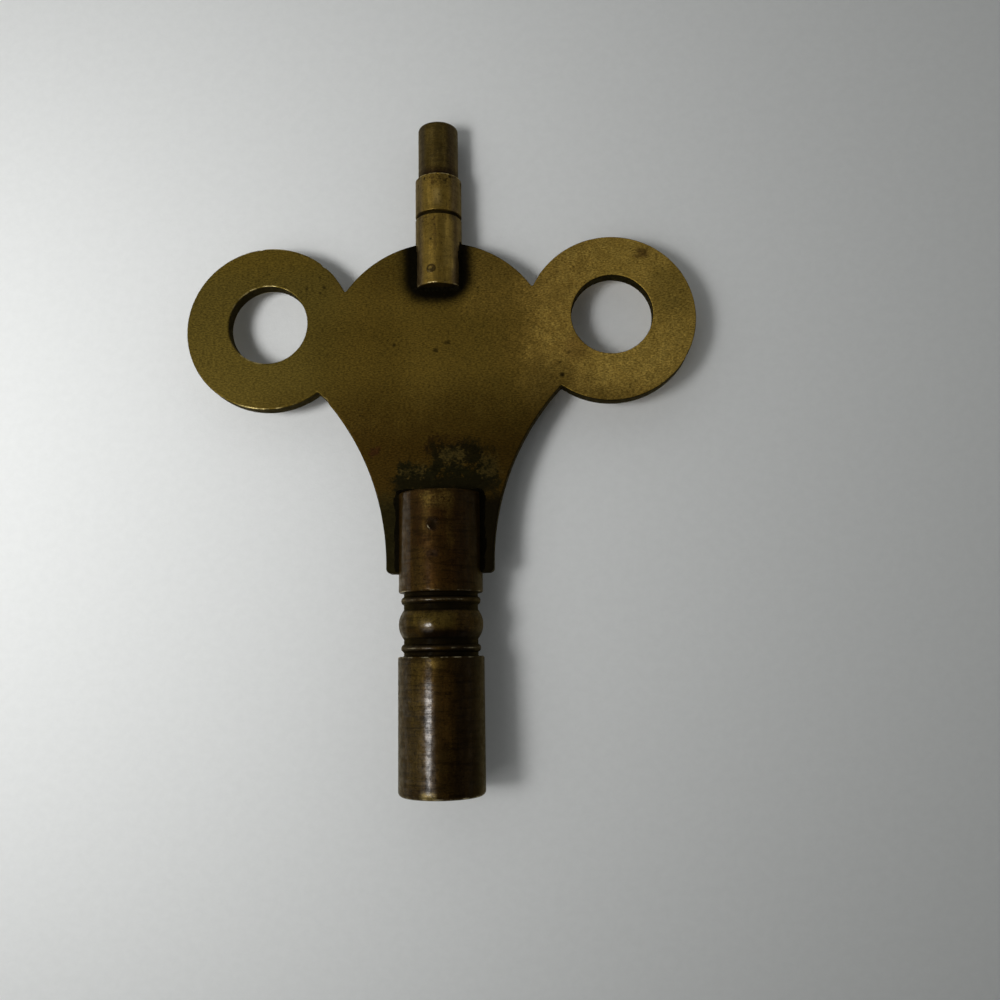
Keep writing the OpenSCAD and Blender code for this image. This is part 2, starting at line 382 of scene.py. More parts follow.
class Tree:
    """Adds nodes to a shader tree and links them."""

    def __init__(self, tree: Group) -> None:
        """Takes the tree that the nodes go into."""
        self.tree = tree

    def add(self, kind: str, inputs: Feeds | None = None, **settings: Any) -> bpy.types.Node:
        """Adds a node.

        Args:
            kind: Blender's name of the node type.
            inputs: Sockets or constants for its inputs, by name or number.
            **settings: Properties to set on it.

        Returns:
            The new node.
        """
        node = self.tree.nodes.new(kind)
        for key, value in settings.items():
            setattr(node, key, value)
        self.fill(node, inputs or {})
        return node

    def fill(self, node: bpy.types.Node, inputs: Feeds) -> None:
        """Feeds the inputs of a node, by name or number."""
        for key, value in inputs.items():
            self.feed(node.inputs[key], value)

    def feed(self, socket: Socket, value: Value) -> None:
        """Links a socket to another, or sets its constant.

        Args:
            socket: Input that is fed.
            value: Socket that it is linked to, or the constant.
        """
        if isinstance(value, Socket):
            self.tree.links.new(value, socket)
        elif isinstance(value, tuple) and socket.type == "RGBA":
            socket.default_value = (*value, 1.0)
        else:
            socket.default_value = value

    def calc(self, operation: str, *values: Value, clamp: bool = False) -> Socket:
        """Adds a Math node and gives its result."""
        inputs = dict(enumerate(values))
        return self.add("ShaderNodeMath", inputs, operation=operation, use_clamp=clamp).outputs[0]

    def vector(self, operation: str, *values: Value) -> Socket:
        """Adds a Vector Math node and gives its vector."""
        inputs = dict(enumerate(values))
        return self.add("ShaderNodeVectorMath", inputs, operation=operation).outputs["Vector"]

    def measure(self, operation: str, *values: Value) -> Socket:
        """Adds a Vector Math node and gives its value."""
        inputs = dict(enumerate(values))
        return self.add("ShaderNodeVectorMath", inputs, operation=operation).outputs["Value"]

    def ramp(self, value: Value, span: Span, onto: Span = (0.0, 1.0)) -> Socket:
        """Adds a smooth map of a value from one span onto another."""
        inputs = dict(enumerate((value, *span, *onto)))
        return self.add("ShaderNodeMapRange", inputs, interpolation_type="SMOOTHSTEP").outputs[0]

    def tint(self, amount: Value, under: Value, over: Value) -> Socket:
        """Lays one colour over another by an amount."""
        inputs = {0: amount, 6: under, 7: over}
        return self.add("ShaderNodeMix", inputs, data_type="RGBA").outputs[2]

    def blend(self, amount: Value, under: Value, over: Value) -> Socket:
        """Moves a value towards another by an amount."""
        inputs = {0: amount, 2: under, 3: over}
        return self.add("ShaderNodeMix", inputs, data_type="FLOAT").outputs[0]

    def partly(self, mask: Value, share: float) -> Socket:
        """Lets a share of a mask take effect, so that it falls from 1 to what is left."""
        return self.calc("MULTIPLY_ADD", mask, share, 1.0 - share)

    def brighten(self, colour: Value, factor: Value) -> Socket:
        """Multiplies a colour by a factor."""
        inputs = {0: colour, "Scale": factor}
        return self.add("ShaderNodeVectorMath", inputs, operation="SCALE").outputs["Vector"]

    def bump(self, height: Value) -> Socket:
        """Gives the normal of a surface whose height is in millimetres."""
        return self.add("ShaderNodeBump", {"Height": height, "Distance": MM}).outputs[0]

    def mask(self, mask: Mask) -> Socket:
        """Reads a mask that is painted on the mesh."""
        return self.add("ShaderNodeAttribute", attribute_name=mask.value).outputs["Fac"]

    def place(self) -> Socket:
        """Gives the place on the key in millimetres."""
        metres = self.add("ShaderNodeTexCoord").outputs["Object"]
        return self.vector("MULTIPLY", metres, (1 / MM, 1 / MM, 1 / MM))


@dataclass(frozen=True)
class NoiseLayer:
    """Layer of noise: its features per millimetre, its detail and the span of it that shows."""

    scale: float
    detail: float
    rough: float
    span: Pair = (0.0, 1.0)
    stretch: Triple | None = None

    def level(self, tree: Tree, place: Socket, spread: Socket | None = None) -> Socket:
        """Adds the noise to a tree.

        Args:
            tree: The tree.
            place: Place on the key in millimetres.
            spread: Factor on the features per millimetre.

        Returns:
            The noise, from 0 to 1.
        """
        inputs = {
            "Vector": tree.vector("MULTIPLY", place, self.stretch) if self.stretch else place,
            "Scale": tree.calc("MULTIPLY", spread, self.scale) if spread else self.scale,
            "Detail": self.detail,
            "Roughness": self.rough,
        }
        return tree.add("ShaderNodeTexNoise", inputs).outputs[0]

    def mask(self, tree: Tree, place: Socket, spread: Socket | None = None) -> Socket:
        """Adds the noise to a tree, with its span drawn out from 0 to 1."""
        return tree.ramp(self.level(tree, place, spread), self.span)


# Tarnish, from broad clouds to small specks
CLOUD = NoiseLayer(0.22, 4.0, 0.55, (0.36, 0.64))
MOTTLE = NoiseLayer(1.7, 7.0, 0.75, (0.38, 0.62))
GRAIN = NoiseLayer(7.5, 3.0, 0.7, (0.34, 0.66), (0.5, 1.2, 1.0))
FLAKES = NoiseLayer(5.5, 3.0, 0.65)
FLAKE_PATCHES = NoiseLayer(0.9, 4.0, 0.6)
FLAKE_PATCH_SHARE = 0.4
FLECK_SPAN = (0.45, 0.58)
SPECKS = NoiseLayer(4.2, 3.0, 0.6)
SPECK_TOP = 0.8
SPECK_EDGE = 0.1

# Breaks in the bright line of a rubbed edge
EDGE_BREAKS = NoiseLayer(0.9, 4.0, 0.6, (0.4, 0.68))
EDGE_BREAK_SHARE = 0.85
EDGE_SPAN = (0.15, 0.8)

# Lines round the key axis, broader strokes among them and runs of tarnish along the axis
TOOL_LINES = NoiseLayer(1.0, 3.0, 0.7, stretch=(0.22, 9.0, 0.22))
TOOL_STROKES = NoiseLayer(1.0, 3.0, 0.65, stretch=(0.4, 2.8, 0.4))
STREAK_LINE_SHARE = 0.25
STREAK_SPAN = (0.5, 0.6)
TARNISH_RUNS = NoiseLayer(1.0, 5.0, 0.65, (0.42, 0.66), (1.6, 0.28, 1.6))
RUN_MEAN = 0.3

# Wandering edge of a patch
PATCH_SHORE = NoiseLayer(0.8, 5.0, 0.65)
PATCH_FRAY = NoiseLayer(3.4, 3.0, 0.6)
PATCH_FRAY_SHARE = 0.4

# Scuffs, each with its turn about Z in radians
SCUFF_WAYS = (
    (0.5, NoiseLayer(1.0, 2.0, 0.5, (0.62, 0.72), (0.35, 7.0, 1.0))),
    (-0.9, NoiseLayer(1.0, 2.0, 0.5, (0.62, 0.72), (0.5, 7.0, 1.0))),
)

# Fibres in the paper of the table
FIBRE = NoiseLayer(1.1, 5.0, 0.7, (0.3, 0.7))


class Effect(Enum):
    """Shared surface effects, each one a shader node group."""

    PATINA = "Patina"
    # Broken bright line on edges: wear, and painted highlight
    WEAR_AND_GLINT_EDGE = "Rubbed edge"
    LATHE_LINES = "Lathe lines"
    PATCH_SHAPE = "Stain"
    SCUFFS = "Scuffs"


class Effects:
    """Builds the shared node groups once and places them in materials."""

    def __init__(self) -> None:
        """Starts with no group built."""
        self.groups: dict[Effect, Group] = {}
        self.makers: dict[Effect, Callable[[], Group]] = {
            Effect.PATINA: self._patina,
            Effect.WEAR_AND_GLINT_EDGE: self._wear_and_glint_edge,
            Effect.LATHE_LINES: self._lathe_lines,
            Effect.PATCH_SHAPE: self._patch_shape,
            Effect.SCUFFS: self._scuffs,
        }

    def use(self, tree: Tree, effect: Effect, inputs: Feeds) -> Outputs:
        """Places an effect in a material.

        Args:
            tree: Tree of the material.
            effect: Which effect.
            inputs: Sockets or constants for the group's inputs.

        Returns:
            The outputs of the placed group.
        """
        if effect not in self.groups:
            self.groups[effect] = self.makers[effect]()
        return tree.add("ShaderNodeGroup", inputs, node_tree=self.groups[effect]).outputs

    @staticmethod
    def _open(
        effect: Effect, inputs: Mapping[str, float | Triple], outputs: Sequence[str]
    ) -> tuple[Tree, Outputs, bpy.types.NodeInputs]:
        """Starts the node group of an effect.

        Args:
            effect: Which effect.
            inputs: Names and default values of its inputs, besides the place.
            outputs: Names of its outputs.

        Returns:
            The group's tree, the sockets that lead into it and the sockets that lead out.
        """
        group = bpy.data.node_groups.new(effect.value, "ShaderNodeTree")
        for name, value in {"Place": ORIGIN, **inputs}.items():
            kind = "NodeSocketVector" if isinstance(value, tuple) else "NodeSocketFloat"
            socket = group.interface.new_socket(name, in_out="INPUT", socket_type=kind)
            socket.default_value = value
        for name in outputs:
            group.interface.new_socket(name, in_out="OUTPUT", socket_type="NodeSocketFloat")
        tree = Tree(group)
        return tree, tree.add("NodeGroupInput").outputs, tree.add("NodeGroupOutput").inputs

    def _patina(self) -> Group:
        """Builds the uneven tarnish of old brass, from broad clouds to small specks.

        Returns:
            The node group.
        """
        plain = {"Cloud": CLOUD, "Mottle": MOTTLE, "Grain": GRAIN}
        values = {"Spread": 1.0, "Speck Share": 0.3}
        tree, into, out = self._open(Effect.PATINA, values, (*plain, "Fleck", "Speck"))
        place, spread = into["Place"], into["Spread"]
        for name, layer in plain.items():
            tree.feed(out[name], layer.mask(tree, place, spread))
        flakes, patches = (layer.level(tree, place, spread) for layer in (FLAKES, FLAKE_PATCHES))
        fleck = tree.blend(FLAKE_PATCH_SHARE, flakes, patches)
        tree.feed(out["Fleck"], tree.ramp(fleck, FLECK_SPAN))
        floor = tree.calc("SUBTRACT", SPECK_TOP, into["Speck Share"])
        speck = SPECKS.level(tree, place, spread)
        tree.feed(out["Speck"], tree.ramp(speck, (floor, tree.calc("ADD", floor, SPECK_EDGE))))
        return tree.tree

    def _wear_and_glint_edge(self) -> Group:
        """Builds the broken bright line on an edge: metal worn by hands, and painted highlight.

        Returns:
            The node group.
        """
        values = {"Edge": 0.0, "Amount": 0.5}
        tree, into, out = self._open(Effect.WEAR_AND_GLINT_EDGE, values, ("Mask",))
        broken = tree.partly(EDGE_BREAKS.mask(tree, into["Place"]), EDGE_BREAK_SHARE)
        level = tree.ramp(tree.calc("MULTIPLY", into["Edge"], broken), EDGE_SPAN)
        tree.feed(out["Mask"], tree.calc("MULTIPLY", level, into["Amount"]))
        return tree.tree

    def _lathe_lines(self) -> Group:
        """Builds fine lines round the key axis, and soft runs of tarnish along it.

        Returns:
            The node group.
        """
        values = {"Streak": 0.3, "Run": 0.5}
        tree, into, out = self._open(Effect.LATHE_LINES, values, ("Height", "Tone"))
        place = into["Place"]
        lines, strokes = (layer.level(tree, place) for layer in (TOOL_LINES, TOOL_STROKES))
        streak = tree.ramp(tree.blend(STREAK_LINE_SHARE, strokes, lines), STREAK_SPAN)
        darker = tree.calc("SUBTRACT", 1.0, tree.calc("MULTIPLY", streak, into["Streak"]))
        run = tree.calc("SUBTRACT", TARNISH_RUNS.mask(tree, place), RUN_MEAN)
        lighter = tree.calc("MULTIPLY_ADD", run, into["Run"], 1.0)
        tree.feed(out["Height"], lines)
        tree.feed(out["Tone"], tree.calc("MULTIPLY", darker, lighter))
        return tree.tree

    def _patch_shape(self) -> Group:
        """Builds a ragged patch round a rectangle on the plate, seen along Z.

        Returns:
            The node group.
        """
        plane = (1.0, 1.0, 0.0)
        values = {"Middle": ORIGIN, "Half": plane, "Round": 0.0, "Reach": 1.0, "Ragged": 0.5}
        tree, into, out = self._open(Effect.PATCH_SHAPE, values, ("Mask",))
        place = into["Place"]
        flat = tree.vector("MULTIPLY", place, plane)
        away = tree.vector("ABSOLUTE", tree.vector("SUBTRACT", flat, into["Middle"]))
        gap = tree.vector("MAXIMUM", tree.vector("SUBTRACT", away, into["Half"]), ORIGIN)
        shore, fray = (layer.level(tree, place) for layer in (PATCH_SHORE, PATCH_FRAY))
        wander = tree.calc("MULTIPLY_ADD", tree.blend(PATCH_FRAY_SHARE, shore, fray), 2.0, -1.0)
        edge = tree.calc("MULTIPLY_ADD", wander, into["Ragged"], tree.measure("LENGTH", gap))
        edge = tree.calc("SUBTRACT", edge, into["Round"])
        tree.feed(out["Mask"], tree.ramp(edge, (0.0, into["Reach"]), (1.0, 0.0)))
        return tree.tree

    def _scuffs(self) -> Group:
        """Builds short thin scuffs in two crossing directions.

        Returns:
            The node group.
        """
        tree, into, out = self._open(Effect.SCUFFS, {}, ("Mask",))
        masks = []
        for angle, layer in SCUFF_WAYS:
            inputs = {"Vector": into["Place"], "Angle": angle}
            turned = tree.add("ShaderNodeVectorRotate", inputs, rotation_type="Z_AXIS").outputs[0]
            masks.append(layer.mask(tree, turned))
        tree.feed(out["Mask"], tree.calc("MAXIMUM", *masks))
        return tree.tree


@dataclass(frozen=True)
class Surface:
    """Shared effects as they are placed in one material."""

    tree: Tree
    effects: Effects
    place: Socket
    patina: Outputs
    scuffs: Socket
    rubbed: Socket
    lines: Outputs | None


@dataclass(frozen=True)
class Patch:
    """Ragged patch round a rectangle on the key, in millimetres.

    The edges of all patches wander alike. Where the raggedness is below 0 they wander the other
    way, so that such a patch fills the gaps of the others.
    """

    middle: Pair
    half: Pair
    reach: float
    ragged: float
    round_: float = field(default=0.0, kw_only=True)

    def mask(self, surface: Surface) -> Socket:
        """Places the patch in a material.

        Args:
            surface: Effects of the material.

        Returns:
            1 on the patch, falling to 0 round it.
        """
        inputs = {
            "Place": surface.place,
            "Middle": (*self.middle, 0.0),
            "Half": (*self.half, 0.0),
            "Round": self.round_,
            "Reach": self.reach,
            "Ragged": self.ragged,
        }
        return surface.effects.use(surface.tree, Effect.PATCH_SHAPE, inputs)["Mask"]


@dataclass(frozen=True)
class Stain(Patch):
    """Patch of colour for tarnish, dirt, painted shade and painted highlights: its colour, how much
    it covers, dulls and breaks into flecks.
    """

    colour: Colour
    amount: float
    dull: float = 0.0
    fleck: float = 0.0


@dataclass(frozen=True)
class Gloss(Patch):
    """Patch where handling has polished the old lacquer."""

    amount: float


# How far the tarnish, the dirt with the painted shade, and the worn edges with their painted
# highlights change the roughness of the metal
MOTTLE_SHINE = 0.16
DIRT_AND_SHADE_DULLING = 0.22
RUB_SHINE = 0.12
# Metallic share where dirt and painted shade cover the surface fully
DIRT_AND_SHADE_METALLIC = 0.6
# Depth of a scuff as a share of a pit's
SCUFF_SHARE = 0.4
# How the lacquer thins out over the lathe lines and the mottled tarnish
COAT_LINE_SPAN = (0.4, 0.62)
COAT_LINE_LEVELS = (1.0, 0.5)
COAT_MOTTLE_SHARE = 0.7


def node_material(name: str) -> tuple[Material, Tree, bpy.types.Node]:
    """Makes a node material.

    Args:
        name: Name of the material.

    Returns:
        The material, its tree and its Principled shader.
    """
    material = bpy.data.materials.new(name)
    material.use_nodes = True
    return material, Tree(material.node_tree), material.node_tree.nodes["Principled BSDF"]


@dataclass(frozen=True)
class AgedBrass:
    """Finish of one brass piece: its tones, its gloss, its tool marks and its patches of colour,
    some of them painted shade and painted highlights.
    """

    name: str
    base: Colour
    cloud: Colour
    pale: Colour
    speck: Colour
    # Colour of the bright edges: worn metal, and painted highlight
    rubbed: Colour
    # Colour of the dark places: dirt in hollows, and painted shade
    dirt_and_shade_colour: Colour
    metallic: float
    roughness: float
    cloud_amount: float = 0.6
    pale_amount: float = 0.4
    speck_share: float = 0.3
    speck_amount: float = 0.6
    rubbed_amount: float = 0.6
    spread: float = 1.0
    line_depth: float = 0.0
    streak_amount: float = 0.0
    run_amount: float = 0.0
    pit_depth: float = 0.004
    scuff_amount: float = 0.2
    specular: float = 0.15
    sheen: Colour = (1.0, 0.84, 0.5)
    coat: float = 0.0
    coat_roughness: float = 0.2
    grain: float = 0.25
    colour_patches: tuple[Stain, ...] = ()
    glosses: tuple[Gloss, ...] = ()

    def surface(self, tree: Tree, effects: Effects) -> Surface:
        """Places the shared effects in a material, with the values of the finish.

        Args:
            tree: Tree of the material.
            effects: Shared effects of the scene.

        Returns:
            The placed effects.
        """
        place = tree.place()
        inputs: dict[Effect, Feeds] = {
            Effect.PATINA: {"Spread": self.spread, "Speck Share": self.speck_share},
            Effect.SCUFFS: {},
            Effect.WEAR_AND_GLINT_EDGE: {"Edge": tree.mask(Mask.WEAR_AND_GLINT), "Amount": self.rubbed_amount},
        }
        if self.line_depth:
            inputs[Effect.LATHE_LINES] = {"Streak": self.streak_amount, "Run": self.run_amount}
        placed = {
            effect: effects.use(tree, effect, {"Place": place, **values})
            for effect, values in inputs.items()
        }
        return Surface(
            tree,
            effects,
            place,
            patina=placed[Effect.PATINA],
            scuffs=placed[Effect.SCUFFS]["Mask"],
            rubbed=placed[Effect.WEAR_AND_GLINT_EDGE]["Mask"],
            lines=placed.get(Effect.LATHE_LINES),
        )

    def tone(self, surface: Surface) -> tuple[Socket, Socket]:
        """Mixes the colour from the tarnish, the patches of colour, the wear and the dirt, among
        which lie painted shade and painted highlights.

        Args:
            surface: Effects of the material.

        Returns:
            The colour, and how much dirt and painted shade cover the surface.
        """
        tree, patina = surface.tree, surface.patina
        colour: Value = self.base
        for mask, amount, over in (
            (patina["Cloud"], self.cloud_amount, self.cloud),
            (patina["Mottle"], self.pale_amount, self.pale),
            (surface.scuffs, self.scuff_amount, self.pale),
        ):
            colour = tree.tint(tree.calc("MULTIPLY", mask, amount), colour, over)
        # Mask of dirt and painted shade
        dirt_and_shade = tree.mask(Mask.DIRT_AND_SHADE)
        for colour_patch in self.colour_patches:
            spot = colour_patch.mask(surface)
            if colour_patch.fleck:
                spot = tree.calc("MULTIPLY", spot, tree.partly(patina["Fleck"], colour_patch.fleck))
            colour = tree.tint(tree.calc("MULTIPLY", spot, colour_patch.amount), colour, colour_patch.colour)
            if colour_patch.dull:
                dirt_and_shade = tree.calc("MAXIMUM", dirt_and_shade, tree.calc("MULTIPLY", spot, colour_patch.dull))
        if surface.lines is not None:
            colour = tree.brighten(colour, surface.lines["Tone"])
        swing = tree.calc("MULTIPLY_ADD", patina["Grain"], 2.0 * self.grain, 1.0 - self.grain)
        colour = tree.tint(dirt_and_shade, tree.brighten(colour, swing), self.dirt_and_shade_colour)
        specks = tree.calc("MULTIPLY", patina["Speck"], self.speck_amount)
        # Bright edges: wear, and painted highlight
        return tree.tint(surface.rubbed, tree.tint(specks, colour, self.speck), self.rubbed), dirt_and_shade

    def relief(self, surface: Surface) -> Socket:
        """Gives the height of the surface from its pits, lathe lines and scuffs.

        Args:
            surface: Effects of the material.

        Returns:
            The height in millimetres.
        """
        tree = surface.tree
        height = tree.calc("MULTIPLY", surface.patina["Speck"], -self.pit_depth)
        if surface.lines is not None:
            height = tree.calc("MULTIPLY_ADD", surface.lines["Height"], self.line_depth, height)
        return tree.calc("MULTIPLY_ADD", surface.scuffs, -SCUFF_SHARE * self.pit_depth, height)

    def lacquer(self, surface: Surface, dirt_and_shade: Socket) -> Socket:
        """Gives the weight of the old lacquer, which is left where neither dirt nor painted shade
        lies.

        Args:
            surface: Effects of the material.
            dirt_and_shade: How much dirt and painted shade cover the surface.

        Returns:
            The weight of the coat.
        """
        tree = surface.tree
        coat: Value = self.coat
        for gloss in self.glosses:
            coat = tree.blend(gloss.mask(surface), coat, gloss.amount)
        if surface.lines is not None:
            thin = tree.ramp(surface.lines["Height"], COAT_LINE_SPAN, COAT_LINE_LEVELS)
            patchy = tree.partly(surface.patina["Mottle"], COAT_MOTTLE_SHARE)
            coat = tree.calc("MULTIPLY", tree.calc("MULTIPLY", coat, thin), patchy)
        return tree.calc("MULTIPLY", tree.calc("SUBTRACT", 1.0, dirt_and_shade, clamp=True), coat)

    def material(self, effects: Effects) -> Material:
        """Makes the shader of the finish.

        Args:
            effects: Shared effects of the scene.

        Returns:
            A node material with one Principled shader.
        """
        material, tree, shader = node_material(self.name)
        surface = self.surface(tree, effects)
        colour, dirt_and_shade = self.tone(surface)
        mean = self.roughness + MOTTLE_SHINE / 2
        rough = tree.calc("MULTIPLY_ADD", surface.patina["Mottle"], -MOTTLE_SHINE, mean)
        rough = tree.calc("MULTIPLY_ADD", dirt_and_shade, DIRT_AND_SHADE_DULLING, rough)
        loss = DIRT_AND_SHADE_METALLIC - self.metallic
        inputs: dict[str, Value] = {
            "Base Color": colour,
            "Metallic": tree.calc("MULTIPLY_ADD", dirt_and_shade, loss, self.metallic),
            "Roughness": tree.calc("MULTIPLY_ADD", surface.rubbed, -RUB_SHINE, rough, clamp=True),
            "Normal": tree.bump(self.relief(surface)),
            "Specular IOR Level": self.specular,
            "Specular Tint": self.sheen,
        }
        if self.coat:
            inputs["Coat Weight"] = self.lacquer(surface, dirt_and_shade)
            inputs["Coat Roughness"] = self.coat_roughness
        tree.fill(shader, inputs)
        return material


GRIME = (0.0105, 0.0085, 0.0028)
# Near black, for dark dirt, and also for the painted shadow on the lower end face of the regulator
# barrel
NEAR_BLACK = (0.004, 0.003, 0.0013)
UMBER = (0.034, 0.0185, 0.0028)
RUST = (0.032, 0.012, 0.004)
GOLD = (0.5, 0.34, 0.075)

BOW_BRASS = AgedBrass(
    name="bow brass, olive patina",
    base=(0.092, 0.058, 0.0093),
    cloud=(0.055, 0.033, 0.0048),
    pale=(0.14, 0.092, 0.0165),
    speck=(0.014, 0.008, 0.002),
    rubbed=(0.62, 0.5, 0.22),
    dirt_and_shade_colour=(0.008, 0.006, 0.002),
    metallic=0.85,
    roughness=0.48,
    cloud_amount=0.5,
    pale_amount=0.5,
    rubbed_amount=0.5,
    speck_share=0.17,
    speck_amount=0.65,
    specular=0.05,
    grain=0.42,
    colour_patches=(
        # Middle of the plate
        Stain((-1.0, 43.0), (8.5, 2.5), 4.5, 1.5, (0.16, 0.103, 0.0165), 0.42),
        Stain((8.2, 43.5), (1.2, 2.5), 3.5, 1.5, (0.17, 0.105, 0.019), 0.45),
        # Left ear
        Stain((-18.5, 44.0), (6.0, 6.0), 6.0, 3.0, (0.098, 0.071, 0.0135), 0.7),
        Stain((-18.0, 52.0), (5.0, 0.5), 3.0, 1.5, (0.14, 0.09, 0.012), 0.5),
        # Right ear, golden and brighter
        Stain((17.5, 45.0), (5.5, 6.0), 6.0, 2.0, (0.255, 0.155, 0.029), 0.85),
        Stain((20.5, 46.0), (3.0, 5.0), 5.0, 2.0, (0.34, 0.22, 0.04), 0.75),
        Stain((17.5, 44.5), (6.5, 6.5), 4.0, 3.0, GOLD, 0.55, fleck=0.7),
        Stain((19.5, 40.0), (3.5, 0.8), 2.5, 1.5, GOLD, 0.6, fleck=0.7),
        Stain((13.4, 41.6), (0.5, 0.6), 1.2, 1.0, (0.14, 0.07, 0.016), 0.5, fleck=0.5),
        Stain((22.5, 47.0), (0.8, 1.5), 2.0, 1.2, (0.16, 0.11, 0.02), 0.5),
        Stain((19.84, 50.77), (0.3, 0.2), 0.7, 1.0, (0.06, 0.026, 0.008), 0.75),
        # Dome and sides of the plate
        Stain((7.0, 49.0), (3.5, 2.0), 3.0, 2.5, (0.27, 0.17, 0.034), 0.42, fleck=0.5),
        Stain((10.8, 37.6), (0.8, 1.2), 2.6, 1.2, (0.085, 0.052, 0.009), 0.65),
        Stain((-8.0, 40.0), (2.5, 3.0), 4.0, 2.0, (0.055, 0.034, 0.0045), 0.4),
        # Dark foot
        Stain((0.0, 19.0), (14.0, 12.5), 8.5, 3.0, UMBER, 0.93),
        Stain((-0.2, 21.5), (9.0, 3.6), 4.0, 1.6, GRIME, 0.95, 0.5),
        Stain((5.6, 23.0), (1.6, 3.5), 1.6, 1.0, NEAR_BLACK, 0.95, 0.25),
        Stain((-5.6, 24.0), (1.0, 3.0), 1.5, 1.6, (0.03, 0.026, 0.007), 0.5, fleck=0.6),
        # Crust above the holder
        Stain((0.6, 28.4), (4.4, 0.4), 1.0, 1.6, GRIME, 0.95, 0.5),
        Stain((0.8, 29.4), (4.4, 0.9), 0.6, 3.0, (0.0135, 0.0115, 0.0035), 0.95, fleck=0.35),
        Stain((0.9, 30.5), (1.3, 0.7), 0.7, 1.8, (0.017, 0.0155, 0.0055), 0.85, fleck=0.35),
        Stain((-3.4, 30.3), (0.35, 0.45), 0.5, 2.0, GRIME, 0.9, fleck=0.3),
        Stain((2.9, 31.6), (1.0, 0.9), 0.7, 3.0, GRIME, 0.95, fleck=0.5),
        Stain((4.6, 30.5), (0.5, 1.2), 0.8, 2.4, GRIME, 0.75, fleck=0.7),
        Stain((0.5, 32.2), (1.3, 0.8), 0.7, 2.8, (0.017, 0.0085, 0.0025), 0.85, fleck=0.6),
        Stain((1.2, 31.4), (0.4, 0.2), 0.5, 1.4, (0.1, 0.08, 0.02), 0.35, fleck=0.8),
        Stain((0.5, 29.2), (4.0, 0.6), 0.5, 3.0, (0.0068, 0.0062, 0.002), 0.8, round_=0.2),
        Stain((1.6, 31.1), (1.9, 0.8), 0.5, 3.0, (0.0075, 0.0062, 0.002), 0.8, round_=0.1),
        Stain((1.5, 31.5), (1.0, 0.2), 0.6, -3.0, (0.065, 0.046, 0.012), 0.55, round_=-0.1),
        Stain((4.7, 30.2), (0.5, 0.7), 0.6, -3.0, (0.06, 0.042, 0.011), 0.5, round_=-0.1),
        Stain((-2.6, 29.8), (1.0, 0.2), 0.6, -3.0, (0.06, 0.042, 0.011), 0.5, round_=-0.2),
        Stain((-6.13, 31.84), (0.25, 0.15), 0.4, 0.9, RUST, 0.8),
        # Dark U round the regulator barrel: a dark brown ring of dirt, and inside it near-black
        # painted shadow under the barrel's end
        Stain((-0.1, 51.1), (0.9, 2.0), 1.6, 0.8, (0.02, 0.0135, 0.003), 0.85, 0.2, round_=1.9),
        Stain((-0.1, 51.1), (0.9, 2.1), 0.9, 0.4, (0.003, 0.0022, 0.001), 1.0, 0.2, round_=1.8),
        # Small dark spots
        Stain((-0.3, 41.65), (0.08, 0.06), 0.25, 0.2, NEAR_BLACK, 0.75),
        Stain((0.87, 42.4), (0.16, 0.05), 0.25, 0.3, NEAR_BLACK, 0.6),
        Stain((-4.3, 42.3), (0.05, 0.05), 0.2, 0.1, NEAR_BLACK, 0.7),
        Stain((-12.95, 48.3), (0.04, 0.04), 0.18, 0.05, NEAR_BLACK, 0.6),
        Stain((-11.2, 48.35), (0.05, 0.05), 0.2, 0.05, NEAR_BLACK, 0.7),
        Stain((-11.6, 47.8), (0.04, 0.06), 0.16, 0.05, NEAR_BLACK, 0.5),
        Stain((11.82, 38.88), (0.1, 0.07), 0.24, 0.1, NEAR_BLACK, 0.85),
        Stain((11.65, 40.12), (0.05, 0.04), 0.2, 0.05, NEAR_BLACK, 0.6),
        Stain((12.54, 41.08), (0.05, 0.05), 0.16, 0.05, NEAR_BLACK, 0.5),
    ),
)

